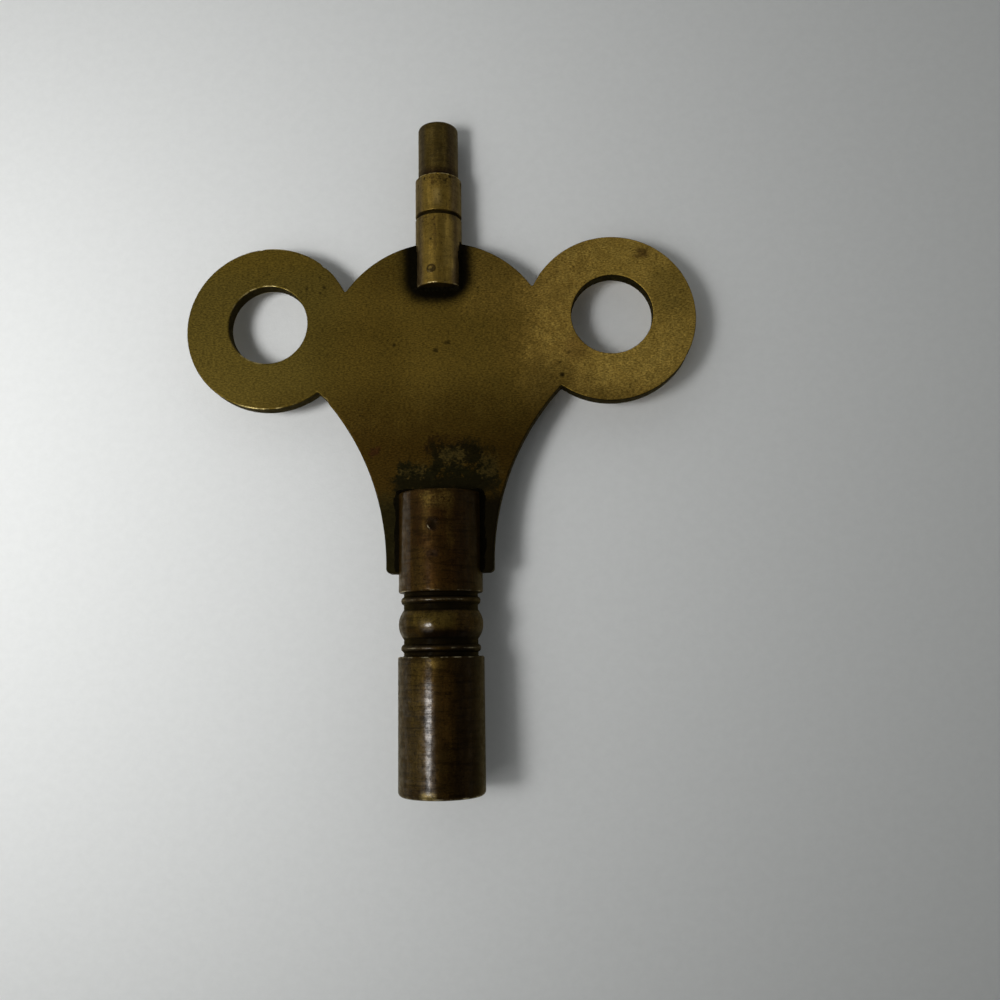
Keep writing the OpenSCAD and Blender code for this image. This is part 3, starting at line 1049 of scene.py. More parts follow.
WINDING_BRASS = AgedBrass(
    name="winding barrel brass, dark brown",
    base=(0.026, 0.0138, 0.0028),
    cloud=(0.012, 0.0055, 0.0013),
    pale=(0.055, 0.032, 0.0065),
    speck=(0.004, 0.002, 0.001),
    rubbed=(0.6, 0.52, 0.32),
    dirt_and_shade_colour=(0.0045, 0.0032, 0.0013),
    metallic=0.55,
    roughness=0.45,
    rubbed_amount=0.5,
    line_depth=0.005,
    streak_amount=0.4,
    run_amount=0.5,
    speck_share=0.22,
    specular=0.03,
    coat=0.08,
    coat_roughness=0.16,
    grain=0.2,
    colour_patches=(
        # Holder
        Stain((0.0, 23.0), (4.0, 4.3), 0.6, 0.3, (0.04, 0.0185, 0.004), 0.85, fleck=0.5),
        # Painted shade: the side of the holder away from the lamp, darker
        Stain((2.9, 23.0), (0.6, 4.3), 1.0, 0.3, (0.016, 0.009, 0.0025), 0.8),
        Stain((0.1, 26.7), (0.8, 0.3), 1.0, 1.6, (0.13, 0.086, 0.019), 0.5, fleck=0.9),
        Stain((-0.95, 25.4), (0.1, 1.6), 0.6, 1.1, (0.1, 0.066, 0.013), 0.5, fleck=0.85),
        Stain((1.25, 24.6), (0.1, 2.2), 0.5, 1.1, (0.11, 0.068, 0.014), 0.5, fleck=0.85),
        Stain((-1.6, 20.4), (0.2, 1.6), 0.7, 1.0, (0.085, 0.055, 0.01), 0.5, fleck=0.7),
        Stain((0.5, 20.4), (0.2, 1.2), 0.7, 1.0, (0.085, 0.04, 0.007), 0.5, fleck=0.7),
        Stain((0.4, 22.6), (1.8, 3.0), 1.2, 2.6, (0.019, 0.008, 0.0022), 0.55, fleck=0.5),
        Stain((-0.3, 24.4), (0.3, 0.35), 0.45, 0.5, (0.011, 0.005, 0.002), 0.8),
        Stain((-0.3, 21.75), (0.3, 0.1), 0.45, 0.6, (0.016, 0.009, 0.006), 0.7, fleck=0.4),
        # Beaded neck: painted light on the upper half of the large bead, painted shade on its lower
        # half
        Stain((-0.5, 15.8), (1.6, 0.2), 1.0, 0.8, (0.085, 0.058, 0.011), 0.65, fleck=0.4),
        Stain((1.4, 14.35), (2.4, 0.2), 0.6, 0.4, (0.005, 0.0025, 0.001), 0.9),
        # Plain barrel
        Stain((-0.9, 11.9), (1.2, 0.15), 0.7, 0.8, (0.1, 0.066, 0.014), 0.5, fleck=0.6),
        Stain((-2.0, 6.5), (0.3, 5.0), 0.8, 0.7, (0.07, 0.045, 0.009), 0.6, fleck=0.4),
        Stain((0.85, 8.5), (0.3, 3.2), 0.8, 0.7, (0.045, 0.022, 0.0045), 0.5, fleck=0.3),
        # Painted shade: the side of the plain barrel away from the lamp, darker
        Stain((2.8, 6.0), (0.8, 7.0), 1.2, 0.5, (0.011, 0.006, 0.0017), 0.8),
        # Painted highlight: a golden glint on the rounding of the mouth
        Stain((-0.8, 0.3), (0.35, 0.1), 0.6, 0.5, (0.3, 0.22, 0.07), 0.6, fleck=0.4),
    ),
    glosses=(
        Gloss((-3.6, 6.5), (0.8, 6.2), 0.6, 0.2, 0.5),
        Gloss((-3.4, 23.0), (0.9, 4.8), 0.14, 0.05, 0.65),
        Gloss((-0.9, 4.8), (0.35, 4.2), 1.8, 0.6, 0.75),
        Gloss((-0.95, 15.2), (0.3, 0.25), 0.6, 0.2, 1.0),
        Gloss((-3.6, 15.4), (0.5, 1.2), 0.4, 0.2, 0.5),
        Gloss((-0.6, 13.25), (2.4, 0.1), 0.3, 0.2, 0.5),
        Gloss((-0.6, 17.6), (2.4, 0.1), 0.3, 0.2, 0.5),
    ),
)

PIN_BRASS = replace(WINDING_BRASS, name="pin brass, filed", rubbed_amount=0.9, glosses=())

REGULATOR_BRASS = AgedBrass(
    name="regulator barrel brass, warm olive",
    base=(0.235, 0.15, 0.027),
    cloud=(0.135, 0.083, 0.0148),
    pale=(0.31, 0.206, 0.041),
    speck=(0.02, 0.011, 0.004),
    rubbed=(0.7, 0.58, 0.3),
    # Near black, also for the painted shadow on the lower end face
    dirt_and_shade_colour=NEAR_BLACK,
    metallic=0.85,
    roughness=0.42,
    line_depth=0.002,
    streak_amount=0.15,
    speck_share=0.22,
    rubbed_amount=0.5,
    specular=0.08,
    coat=0.12,
    coat_roughness=0.2,
    grain=0.15,
    pale_amount=0.3,
    run_amount=0.5,
    colour_patches=(
        # Painted reflection and shade on the darker greyish sides, painted highlight in a paler
        # lengthwise band and a golden lengthwise streak, and a thin dark crack
        Stain((-1.95, 53.5), (0.3, 6.0), 0.6, 0.2, (0.06, 0.044, 0.028), 0.8),
        Stain((2.0, 53.5), (0.3, 6.0), 0.6, 0.2, (0.055, 0.038, 0.022), 0.8),
        Stain((1.15, 52.0), (0.2, 2.2), 0.5, 0.3, (0.3, 0.2, 0.045), 0.6),
        Stain((-0.15, 53.0), (0.02, 1.6), 0.22, 0.3, (0.06, 0.034, 0.009), 0.45),
        Stain((0.1, 56.7), (0.03, 0.5), 0.6, 0.5, (0.4, 0.28, 0.09), 0.45),
        # Rust below the shoulder, a dark spot, a dark ring round the pin, and golden spots at its
        # lower left as painted highlight
        Stain((0.15, 58.4), (0.8, 0.3), 0.6, 1.2, RUST, 0.7, fleck=0.8),
        Stain((-0.53, 52.4), (0.06, 0.05), 0.15, 0.1, NEAR_BLACK, 0.7),
        Stain((-0.5, 49.4), (0.01, 0.01), 0.2, 0.15, (0.026, 0.015, 0.004), 0.85, round_=0.34),
        Stain((-0.62, 49.48), (0.08, 0.03), 0.15, 0.25, (0.25, 0.17, 0.04), 0.45, round_=0.02),
        Stain((-0.66, 49.15), (0.05, 0.04), 0.12, 0.2, (0.25, 0.17, 0.04), 0.4),
    ),
)

TIP_BRASS = AgedBrass(
    name="regulator tip brass, brown",
    base=(0.076, 0.05, 0.0105),
    cloud=(0.05, 0.03, 0.0065),
    pale=(0.11, 0.074, 0.017),
    speck=(0.016, 0.009, 0.004),
    rubbed=(0.4, 0.32, 0.16),
    dirt_and_shade_colour=NEAR_BLACK,
    metallic=0.8,
    roughness=0.5,
    rubbed_amount=0.15,
    speck_share=0.18,
    line_depth=0.002,
    streak_amount=0.2,
    run_amount=0.5,
    specular=0.08,
    coat=0.15,
    coat_roughness=0.25,
    colour_patches=(
        # Painted reflection on the greyish left side and painted shade on the dark right side, then
        # the dark joint and the dark end
        Stain((-1.7, 62.0), (0.25, 3.0), 0.5, 0.2, (0.045, 0.034, 0.025), 0.8),
        Stain((1.7, 62.0), (0.3, 3.0), 0.6, 0.2, (0.028, 0.018, 0.01), 0.8),
        Stain((0.0, 59.2), (3.0, 0.15), 0.9, 0.5, (0.024, 0.01, 0.0035), 0.9, 0.3),
        Stain((0.0, 64.9), (3.0, 0.1), 0.5, 0.2, (0.02, 0.012, 0.005), 0.8),
    ),
)

SOLDER_GREY = AgedBrass(
    name="solder, darkened",
    base=(0.0025, 0.002, 0.001),
    cloud=(0.004, 0.003, 0.0015),
    pale=(0.006, 0.005, 0.002),
    speck=(0.02, 0.016, 0.01),
    rubbed=(0.1, 0.08, 0.05),
    dirt_and_shade_colour=NEAR_BLACK,
    metallic=0.7,
    roughness=0.6,
    speck_share=0.12,
    speck_amount=0.3,
    pit_depth=-0.02,
    spread=1.6,
    specular=0.01,
)


def dress(piece: Piece, node: str, material: Material) -> Piece:
    """Gives a piece its finish and puts it in the place of a CAD node.

    Args:
        piece: The piece.
        node: CAD node that it stands for.
        material: Finish of the piece.

    Returns:
        The piece.
    """
    piece.data.materials.clear()
    piece.data.materials.append(material)
    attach(piece, BODY)
    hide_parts(node)
    return piece


@dataclass(frozen=True)
class Arc:
    """Arc of the bow's outline, run through with the plate on its left.

    A full arc shrinks when the outline is drawn in, and a hollow one grows.
    """

    middle: Pair
    radius: float
    start: float
    end: float
    hollow: bool
    steps: int

    def points(self, inset: float) -> Array:
        """Draws the arc.

        Args:
            inset: How far it is drawn into the plate.

        Returns:
            Points along the arc, one row each.
        """
        x, y = self.middle
        radius = self.radius + inset if self.hollow else self.radius - inset
        angles = np.linspace(self.start, self.end, self.steps)
        return np.c_[x + radius * np.cos(angles), y + radius * np.sin(angles)]

    def mirrored(self) -> "Arc":
        """Gives the arc on the other side of the key axis."""
        middle = (-self.middle[0], self.middle[1])
        return replace(self, middle=middle, start=math.pi - self.end, end=math.pi - self.start)


def crossing(
    first: Pair, first_radius: float, second: Pair, second_radius: float, side: float
) -> Pair:
    """Finds a point at given distances from two others.

    Args:
        first: First point.
        first_radius: Distance from it.
        second: Second point.
        second_radius: Distance from that.
        side: 1 for the crossing on the left of the way from first to second, -1 for the right.

    Returns:
        The point.
    """
    gap = math.hypot(second[0] - first[0], second[1] - first[1])
    ux, uy = (second[0] - first[0]) / gap, (second[1] - first[1]) / gap
    along = (gap * gap + first_radius**2 - second_radius**2) / (2 * gap)
    off = side * chord(first_radius, along)
    return first[0] + along * ux - off * uy, first[1] + along * uy + off * ux


def heading(start: Pair, end: Pair) -> float:
    """Gives the angle of the way from one point to another."""
    return math.atan2(end[1] - start[1], end[0] - start[0])


@dataclass(frozen=True)
class Nick:
    """Worn nick in the edge of the bow."""

    middle: Pair
    size: float
    depth: float


@dataclass(frozen=True)
class Rim:
    """Edge of the bow: its points at an inset, and its section as pairs of inset and height."""

    run: Callable[[float], Array]
    section: list[Pair]
    is_hole: bool


@dataclass
class BowPlate:
    """Stamped bow: two ring ears, a dome, hollow flanks and a straight foot."""

    node: str = "bow_plate"
    ear: Pair = (16.6, 44.4)
    ear_radius: float = 8.149
    hole: Pair = (16.75, 44.75)
    hole_radius: float = 3.9
    dome: Pair = (0.0, 41.55)
    dome_radius: float = 11.05
    flank: Pair = (29.95, 20.9)
    flank_radius: float = 24.9
    corner_round: float = 0.45
    notch_round: float = 0.16
    # Points along each arc of the outline and round a hole
    corner_steps: int = 8
    flank_steps: int = 100
    notch_steps: int = 7
    ear_steps: int = 220
    dome_steps: int = 70
    hole_steps: int = 96
    # Section of the edges: roundings, the bands beside them, and the rings on the two arrises
    front_roll: float = 0.1
    back_roll: float = 0.12
    hole_roll: float = 0.11
    roll_steps: int = 6
    face_band: float = 0.07
    wall_band: float = 0.15
    arris_rings: tuple[int, int] = (3, 11)
    # Triangles of the faces: their size, the step of their rows, and the room left at the rims
    grid: float = 0.36
    row_share: float = 0.866
    rim_share: float = 0.6
    crease: float = 50.0
    # Worn shape: nicks, waves of the faces and the lumpy crust above the holder
    nicks: tuple[Nick, ...] = (
        Nick((-10.9, 37.0), 0.3, 0.13),
        Nick((-11.3, 50.5), 0.25, 0.1),
        Nick((-17.5, 52.5), 0.2, 0.05),
        Nick((23.9, 40.6), 0.5, 0.05),
        Nick((9.5, 33.4), 0.3, 0.06),
    )
    nick_probe: float = 0.02
    waves: tuple[Ripple, ...] = (Ripple(0.004, 0.12, 1), Ripple(0.002, 0.45, 2))
    sink: float = 0.004
    crust: Pair = (0.8, 29.4)
    crust_reach: Pair = (4.2, 1.9)
    crust_height: float = 0.03
    crust_lumps: Ripple = Ripple(2.0, 0.9, 3)
    # Bright edges: a little everywhere and more in the notch below the left ear as wear, and most
    # on the left ear, whose edges face the lamp, as painted highlight
    rub_floor: float = 0.06
    wear_and_glint_ear_x: float = -17.2
    wear_and_glint_ear_reach: float = 3.2
    rub_notch: Pair = (-10.9, 36.9)
    rub_notch_reach: float = 0.7
    rub_notch_amount: float = 0.6
    wear_and_glint_width: float = 0.09
    # Painted shade on the walls of the edges: where it starts below the middle of the edge, and how
    # soon it is full
    left_limit: float = -9.0
    left_wall_shade: Pair = (0.76, 0.08)
    right_wall_shade: Pair = (0.795, 0.03)
    finish: AgedBrass = BOW_BRASS

    def arcs(self) -> list[Arc]:
        """Draws the outline as arcs that run smoothly into each other.

        Returns:
            The arcs, from the right corner of the foot round to the left one.
        """
        flank, ear, dome, notch = self.flank, self.ear, self.dome, self.notch_round
        corner_y = node_box(self.node)[0][1] + self.corner_round
        reach = chord(self.flank_radius + self.corner_round, flank[1] - corner_y)
        corner = (flank[0] - reach, corner_y)
        under = crossing(flank, self.flank_radius - notch, ear, self.ear_radius + notch, 1.0)
        over = crossing(ear, self.ear_radius + notch, dome, self.dome_radius + notch, -1.0)
        leave, turn = heading(corner, flank), heading(flank, under)
        runs = (
            (corner, self.corner_round, -math.pi / 2, leave, False, self.corner_steps),
            (flank, self.flank_radius, math.pi + leave, turn, True, self.flank_steps),
            (under, notch, turn, heading(under, ear), True, self.notch_steps),
            (ear, self.ear_radius, heading(ear, under), heading(ear, over), False, self.ear_steps),
            (over, notch, heading(over, ear), heading(over, dome), True, self.notch_steps),
        )
        right = [Arc(*run) for run in runs]
        crown = heading(dome, over)
        middle = Arc(dome, self.dome_radius, crown, math.pi - crown, False, self.dome_steps)
        return right + [middle] + [arc.mirrored() for arc in reversed(right)]

    def outline(self, inset: float) -> Array:
        """Draws the nicked outline.

        Args:
            inset: How far it is drawn into the plate.

        Returns:
            A closed run of points, one row each.
        """
        arcs = self.arcs()
        run, deeper = (
            np.vstack([arc.points(depth)[:-1] for arc in arcs[:-1]] + [arcs[-1].points(depth)])
            for depth in (inset, inset + self.nick_probe)
        )
        inward = (deeper - run) / self.nick_probe
        for nick in self.nicks:
            away = np.hypot(run[:, 0] - nick.middle[0], run[:, 1] - nick.middle[1])
            run = run + inward * (nick.depth * falloff(away, nick.size))[:, None]
        return run

    def hole_edge(self, side: float, inset: float) -> Array:
        """Draws one of the holes.

        Args:
            side: 1 for the right hole, -1 for the left.
            inset: How far it is drawn into the plate.

        Returns:
            A closed run of points, one row each.
        """
        turns = np.arange(self.hole_steps) * math.tau / self.hole_steps
        x, y, radius = side * self.hole[0], self.hole[1], self.hole_radius + inset
        return np.c_[x + radius * np.cos(turns), y + radius * np.sin(turns)]

    def section(self, half: float, front: float, back: float) -> list[Pair]:
        """Gives the section of a rounded edge as pairs of inset and height.

        Args:
            half: Half the thickness of the plate.
            front: Rounding at the front face.
            back: Rounding at the back face.

        Returns:
            The section from the front face round to the back face.
        """
        turns = np.linspace(0.0, math.pi / 2, self.roll_steps)
        run = [(front + self.face_band, half)]
        run += [(front * (1 - math.sin(t)), half - front * (1 - math.cos(t))) for t in turns]
        run += [(0.0, half - front - self.wall_band), (0.0, back + self.wall_band - half)]
        run += [(back * (1 - math.cos(t)), -half + back * (1 - math.sin(t))) for t in turns]
        return run + [(back + self.face_band, -half)]

    def rims(self, half: float) -> list[Rim]:
        """Gives the edges of the plate.

        Args:
            half: Half the thickness of the plate.

        Returns:
            The outline and then the two holes.
        """
        rolled = self.section(half, self.front_roll, self.back_roll)
        drilled = self.section(half, self.hole_roll, self.hole_roll)
        return [
            Rim(self.outline, rolled, False),
            Rim(lambda inset: self.hole_edge(-1.0, inset), drilled, True),
            Rim(lambda inset: self.hole_edge(1.0, inset), drilled, True),
        ]

    def inner_points(self, rims: Sequence[Array]) -> Array:
        """Gives evenly spread points inside the face of the plate.

        Args:
            rims: Runs of points round the face, the outline first and then the holes.

        Returns:
            Points that keep clear of the rims.
        """
        (low_x, low_y), (high_x, high_y) = rims[0].min(0), rims[0].max(0)
        rows = np.arange(low_y, high_y, self.grid * self.row_share)
        columns = np.arange(low_x, high_x, self.grid)
        half_step = self.grid / 2
        spots = np.array(
            [(x + row % 2 * half_step, y) for row, y in enumerate(rows) for x in columns]
        )
        away = nearest(raised(spots, 0.0), raised(np.vstack(rims), 0.0))
        return spots[(away > self.rim_share * self.grid) & self.inside(spots, rims)]

    @staticmethod
    def inside(spots: Array, rims: Sequence[Array]) -> Array:
        """Tells which places lie inside the outline and outside the holes.

        Args:
            spots: Places on the face.
            rims: Runs of points round the face.

        Returns:
            One truth value for each place.
        """
        odd = np.zeros(len(spots), bool)
        for rim in rims:
            for (x0, y0), (x1, y1) in zip(rim, np.roll(rim, -1, axis=0)):
                if y0 != y1:
                    level = (y0 > spots[:, 1]) != (y1 > spots[:, 1])
                    odd ^= level & (spots[:, 0] < (x1 - x0) * (spots[:, 1] - y0) / (y1 - y0) + x0)
        return odd

    def face(self, rims: Sequence[Array]) -> tuple[Array, list[Face]]:
        """Fills a face of the plate with small triangles.

        Args:
            rims: Runs of points round the face, the outline first and then the holes.

        Returns:
            The inner points, and triangles that count the rim points first.
        """
        inner = self.inner_points(rims)
        spots = [Vector(spot) for spot in np.vstack([*rims, inner])]
        edges: list[Face] = []
        start = 0
        for rim in rims:
            edges += [(start + i, start + (i + 1) % len(rim)) for i in range(len(rim))]
            start += len(rim)
        made, _, triangles, origin, _, _ = delaunay_2d_cdt(spots, edges, [], 0, 1e-7)
        back = [source[0] for source in origin]
        middles = [np.mean([made[i] for i in triangle], axis=0) for triangle in triangles]
        rows = zip(triangles, self.inside(np.array(middles), rims))
        return inner, [tuple(back[i] for i in triangle) for triangle, keep in rows if keep]

    def relief(self, spots: Array) -> Array:
        """Gives the height of the worn face above a true plane, in millimetres.

        Args:
            spots: Places on the face.

        Returns:
            One height for each place.
        """
        flat = raised(spots, 0.0)
        waves = sum(wave.at(flat) for wave in self.waves)
        (x, y), (reach_x, reach_y) = self.crust, self.crust_reach
        crust = falloff(spots[:, 0] - x, reach_x) * falloff(spots[:, 1] - y, reach_y)
        lumps = np.clip(self.crust_lumps.at(flat), 0.0, 1.0)
        return waves + self.crust_height * crust * lumps - self.sink

    def build(self, effects: Effects) -> list[Piece]:
        """Builds and dresses the bow.

        Args:
            effects: Shared effects of the scene.

        Returns:
            The bow's piece.
        """
        half = node_box(self.node)[1][2]
        points: list[Array] = []
        faces: list[Face] = []
        arrises: list[Array] = []
        front: list[tuple[int, Array]] = []
        back: list[tuple[int, Array]] = []
        start = 0
        for rim in self.rims(half):
            rings = [rim.run(inset) for inset, _ in rim.section]
            size, last = len(rings[0]), len(rings) - 1
            for high in range(start, start + last * size, size):
                quads = [quad(high + size, high, step, size) for step in range(size)]
                faces += [face[::-1] for face in quads] if rim.is_hole else quads
            levels = [raised(ring, height) for ring, (_, height) in zip(rings, rim.section)]
            points += levels
            arrises += [levels[ring] for ring in self.arris_rings]
            front.append((start, rings[0]))
            back.append((start + last * size, rings[last]))
            start += len(rings) * size
        for side, ends in ((1.0, front), (-1.0, back)):
            inner, triangles = self.face([ring for _, ring in ends])
            points.append(raised(inner, side * (half + self.relief(inner))))
            order = [first + step for first, ring in ends for step in range(len(ring))]
            order += range(start, start + len(inner))
            corners = [tuple(order[index] for index in triangle) for triangle in triangles]
            faces += corners if side > 0 else [corner[::-1] for corner in corners]
            start += len(inner)
        piece = Shell(np.vstack(points), faces).to_object("bow_plate_look")
        self.paint_masks(piece, np.vstack(arrises))
        smooth(piece, self.crease)
        return [dress(piece, self.node, self.finish.material(effects))]

    def paint_masks(self, piece: Piece, arrises: Array) -> None:
        """Paints the bright edges, worn and with painted highlight, and painted shade on the walls
        of the edges.

        Args:
            piece: The bow's object.
            arrises: Points along all edges.
        """
        points = mesh_points(piece)
        x, y, z = points.T
        # Wear everywhere and in the notch, painted highlight on the left ear
        rubbed = self.rub_floor + falloff(x - self.wear_and_glint_ear_x, self.wear_and_glint_ear_reach)
        notch = np.hypot(x - self.rub_notch[0], y - self.rub_notch[1])
        rubbed += self.rub_notch_amount * falloff(notch, self.rub_notch_reach)
        paint(piece, Mask.WEAR_AND_GLINT, rubbed * falloff(nearest(points, arrises), self.wear_and_glint_width))
        # Painted shade on the walls of the edges, set differently left and right
        left = x < self.left_limit
        level, fade = (np.where(left, *pair) for pair in zip(self.left_wall_shade, self.right_wall_shade))
        paint(piece, Mask.DIRT_AND_SHADE, (level - np.abs(z)) / fade)


@dataclass(frozen=True)
class WearAndGlintRing:
    """Bright ring round a turned piece, for wear and for painted highlight."""

    radius: float
    height: float
    strength: float = 1.0


@dataclass(frozen=True)
class DirtAndShadeBand:
    """Dark band round a turned piece, for dirt and for painted shade, below a radius and within
    half a length of a height.
    """

    radius: float
    height: float
    half: float


def paint_turned(
    piece: Piece,
    rings: Sequence[WearAndGlintRing],
    bands: Sequence[DirtAndShadeBand],
    wear_and_glint_width: float = 0.08,
    dark_band_fade: float = 0.07,
    dark_band_most: float = 0.9,
) -> None:
    """Paints the bright rings and dark bands of a turned piece: wear and dirt, and painted
    highlight and shade.

    Args:
        piece: Turned object round the Y axis.
        rings: Its bright rings.
        bands: Its dark bands.
        wear_and_glint_width: Reach of the brightness round an edge.
        dark_band_fade: Depth below a band's radius at which the darkening is full.
        dark_band_most: Largest amount of the darkening.
    """
    x, height, z = mesh_points(piece).T
    radius = np.hypot(x, z)
    rubbed, dirt_and_shade = np.zeros(len(radius)), np.zeros(len(radius))
    for ring in rings:
        away = np.hypot(radius - ring.radius, height - ring.height)
        rubbed = np.maximum(rubbed, ring.strength * falloff(away, wear_and_glint_width))
    for band in bands:
        depth = np.clip((band.radius - radius) / dark_band_fade, 0.0, dark_band_most)
        dirt_and_shade = np.maximum(dirt_and_shade, depth * (np.abs(height - band.height) < band.half))
    paint(piece, Mask.WEAR_AND_GLINT, rubbed)
    paint(piece, Mask.DIRT_AND_SHADE, dirt_and_shade)


@dataclass
class CrossPin:
    """Pin through a barrel and the plate, filed down to the barrel at both ends."""

    node: str
    x: float
    y: float
    radius: float
    barrel_radius: float
    dent: float
    dent_size: float
    burr: float = 0.0
    ring: float = 0.0
    soil: float = 0.5
    finish: AgedBrass = PIN_BRASS
    # Mesh of the pin and of the cutter for its hole
    play: float = 0.005
    hole_sides: int = 48
    sides: int = 40
    circles: int = 12
    crease: float = 40.0
    # Burr at the lower left, painted bright as a highlight on the side facing the lamp: its turn
    # and spread in radians, its place and width on the radius
    burr_turn: float = 0.75 * math.pi
    burr_spread: float = 0.7
    burr_place: float = 0.86
    burr_width: float = 0.12
    # Broken ring at the rim: its depth, how steeply it falls, where its dirt starts and fades
    ring_depth: float = 0.04
    ring_power: int = 8
    ring_place: float = 0.6
    ring_fade: float = 0.3
    ring_mean: float = 0.5
    ring_breaks: Ripple = Ripple(1.1, 2.2, 31)
    unevenness: Ripple = Ripple(1.2, 1.3, 33)

    def hole_cutter(self) -> Piece:
        """Makes the cutter of the pin's hole in its barrel.

        Returns:
            The cutter object, square to the plate.
        """
        reach = self.barrel_radius + CUT_PAST
        bar = rod(self.radius + self.play, -reach, reach, self.hole_sides)
        bar.points = bar.points[:, [0, 2, 1]] * (1.0, -1.0, 1.0) + (self.x, self.y, 0.0)
        return bar.to_object(f"{self.node}_hole")

    def lip(self, across: Array, along: Array) -> Array:
        """Tells how near places are to the burr at the lower left of the pin's rim.

        Args:
            across: Places across the key, from the pin's axis.
            along: Places along the key, from the pin's axis.

        Returns:
            1 at the burr, falling to 0 away from it, and 0 on a pin without one.
        """
        turn = np.angle((across + 1j * along) * np.exp(1j * self.burr_turn))
        share = np.hypot(across, along) / self.radius
        near = falloff(turn, self.burr_spread) * falloff(share - self.burr_place, self.burr_width)
        return near * (self.burr > 0.0)

    def build(self, effects: Effects) -> list[Piece]:
        """Builds and dresses the pin.

        Args:
            effects: Shared effects of the scene.

        Returns:
            The pin's piece.
        """
        radii = np.linspace(0.0, self.radius, self.circles)
        bar = lathe([(r, -1.0) for r in radii] + [(r, 1.0) for r in radii[::-1]], self.sides)
        across, side, along = bar.points.T * [[1.0], [1.0], [-1.0]]
        away, lip = np.hypot(across, along), self.lip(across, along)
        share, dented = away / self.radius, falloff(away, self.dent_size)
        uneven = 1.0 + self.unevenness.at(bar.points * (1.0, 0.0, 1.0)) * share
        dip = self.dent * uneven * dented + self.ring_depth * self.ring * share**self.ring_power
        height = np.sqrt(self.barrel_radius**2 - (across + self.x) ** 2) - dip + self.burr * lip
        bar.points = np.c_[across + self.x, along + self.y, side * height]
        piece = bar.to_object(f"{self.node}_look")
        broken = self.ring_mean + self.ring_breaks.at(bar.points)
        rim = self.ring * np.clip((share - self.ring_place) / self.ring_fade, 0.0, 1.0) * broken
        # Painted highlight on the burr at the lower left
        paint(piece, Mask.WEAR_AND_GLINT, lip)
        paint(piece, Mask.DIRT_AND_SHADE, (rim + self.soil * dented) * (1.0 - lip))
        smooth(piece, self.crease)
        return [dress(piece, self.node, self.finish.material(effects))]


@dataclass
class SolderBank:
    """Uneven run of solder along both sides and across the end of a barrel, on both faces."""

    node: str
    barrel_radius: float
    from_y: float
    to_y: float
    end_at_top: bool
    seed: int = 5
    half_plate: float = 0.8
    leg: float = 0.5
    rise: float = 0.25
    under: float = 0.35
    step: float = 0.09
    finish: AgedBrass = SOLDER_GREY
    crease: float = 60.0
    # Room that the widest leg takes, as a share of the leg
    room: float = 1.2
    # Shape of the bank: mean of leg and rise, its hollow slope, and its climb up the barrel
    mean: float = 0.85
    slope: float = 1.7
    climb: float = 0.3
    # Where the lumps end on the leg, how deep the bank's edge sinks and its underside lies
    lump_end: float = 0.9
    edge_depth: float = 0.03
    root_depth: float = 0.15
    # Height at which the noise is sampled, so that the two faces differ
    noise_height: float = 9.0

    def bank(self, side: float) -> Shell:
        """Builds the solder on one face.

        Args:
            side: 1 for the front face, -1 for the back.

        Returns:
            A closed shell whose underside lies inside the plate.
        """
        inner = chord(self.barrel_radius, self.half_plate)
        reach = self.leg * self.room
        low = self.from_y - (0.0 if self.end_at_top else reach)
        high = self.to_y + (reach if self.end_at_top else 0.0)
        xs = np.arange(-inner - reach, inner + reach + self.step, self.step)
        ys = np.arange(low, high + self.step / 2, self.step)
        ys[-1] = high
        grid = np.array([(x, y) for y in ys for x in xs])
        beside = np.abs(grid[:, 0]) - inner
        beyond = grid[:, 1] - self.to_y if self.end_at_top else self.from_y - grid[:, 1]
        corner = (beside > 0) & (beyond > 0)
        away = np.where(corner, np.hypot(beside, beyond), np.maximum(beside, beyond))
        flat = raised(grid, side * self.noise_height)
        leg = self.leg * (self.mean + Ripple(0.5, 0.9, self.seed).at(flat))
        rise = self.rise * (self.mean + Ripple(0.4, 1.4, self.seed + 1).at(flat))
        share = np.clip(away / leg, -1.0, 1.0)
        banked = np.where(share > 0, (1 - share) ** self.slope, 1 - self.climb * share)
        lumps = Ripple(0.04, 3.0, self.seed + 2).at(flat) * (share < self.lump_end)
        height = np.maximum(rise * banked + lumps, -self.edge_depth)
        height = np.where(share >= 1.0, -self.edge_depth, height)
        kept = ((away > -self.under) & (share < 1.0)).reshape(len(ys), len(xs))
        return self.closed(grid, self.half_plate + height, kept, side)

    def closed(self, grid: Array, height: Array, kept: Array, side: float) -> Shell:
        """Closes the grid cells that have a kept corner into a solid shell.

        Args:
            grid: Places of all grid points.
            height: Height of each grid point.
            kept: Which grid points belong to the bank, by row and column.
            side: 1 for the front face, -1 for the back.

        Returns:
            The shell.
        """
        width = kept.shape[1]
        used = kept[:-1, :-1] | kept[1:, :-1] | kept[:-1, 1:] | kept[1:, 1:]
        firsts = [row * width + column for row, column in zip(*np.nonzero(used))]
        corners = [(first, first + 1, first + width + 1, first + width) for first in firsts]
        needed = sorted({index for face in corners for index in face})
        place = {index: new for new, index in enumerate(needed)}
        count = len(needed)
        top = raised(grid[needed], side * height[needed])
        bottom = raised(grid[needed], side * (self.half_plate - self.root_depth))
        loops = [tuple(place[index] for index in face) for face in corners]
        faces: list[Face] = []
        for loop in loops:
            faces += [loop, tuple(index + count for index in reversed(loop))]
        edges = dict.fromkeys(edge for loop in loops for edge in zip(loop, loop[1:] + loop[:1]))
        faces += [(b, a, a + count, b + count) for a, b in edges if (b, a) not in edges]
        if side < 0:
            faces = [face[::-1] for face in faces]
        return Shell(np.vstack([top, bottom]), faces)

    def build(self, effects: Effects) -> list[Piece]:
        """Builds and dresses the solder on both faces.

        Args:
            effects: Shared effects of the scene.

        Returns:
            The solder's piece.
        """
        piece = self.bank(1.0).joined(self.bank(-1.0)).to_object(f"{self.node}_look")
        for mask in Mask:
            paint(piece, mask, np.zeros(len(piece.data.vertices)))
        smooth(piece, self.crease)
        return [dress(piece, self.node, self.finish.material(effects))]


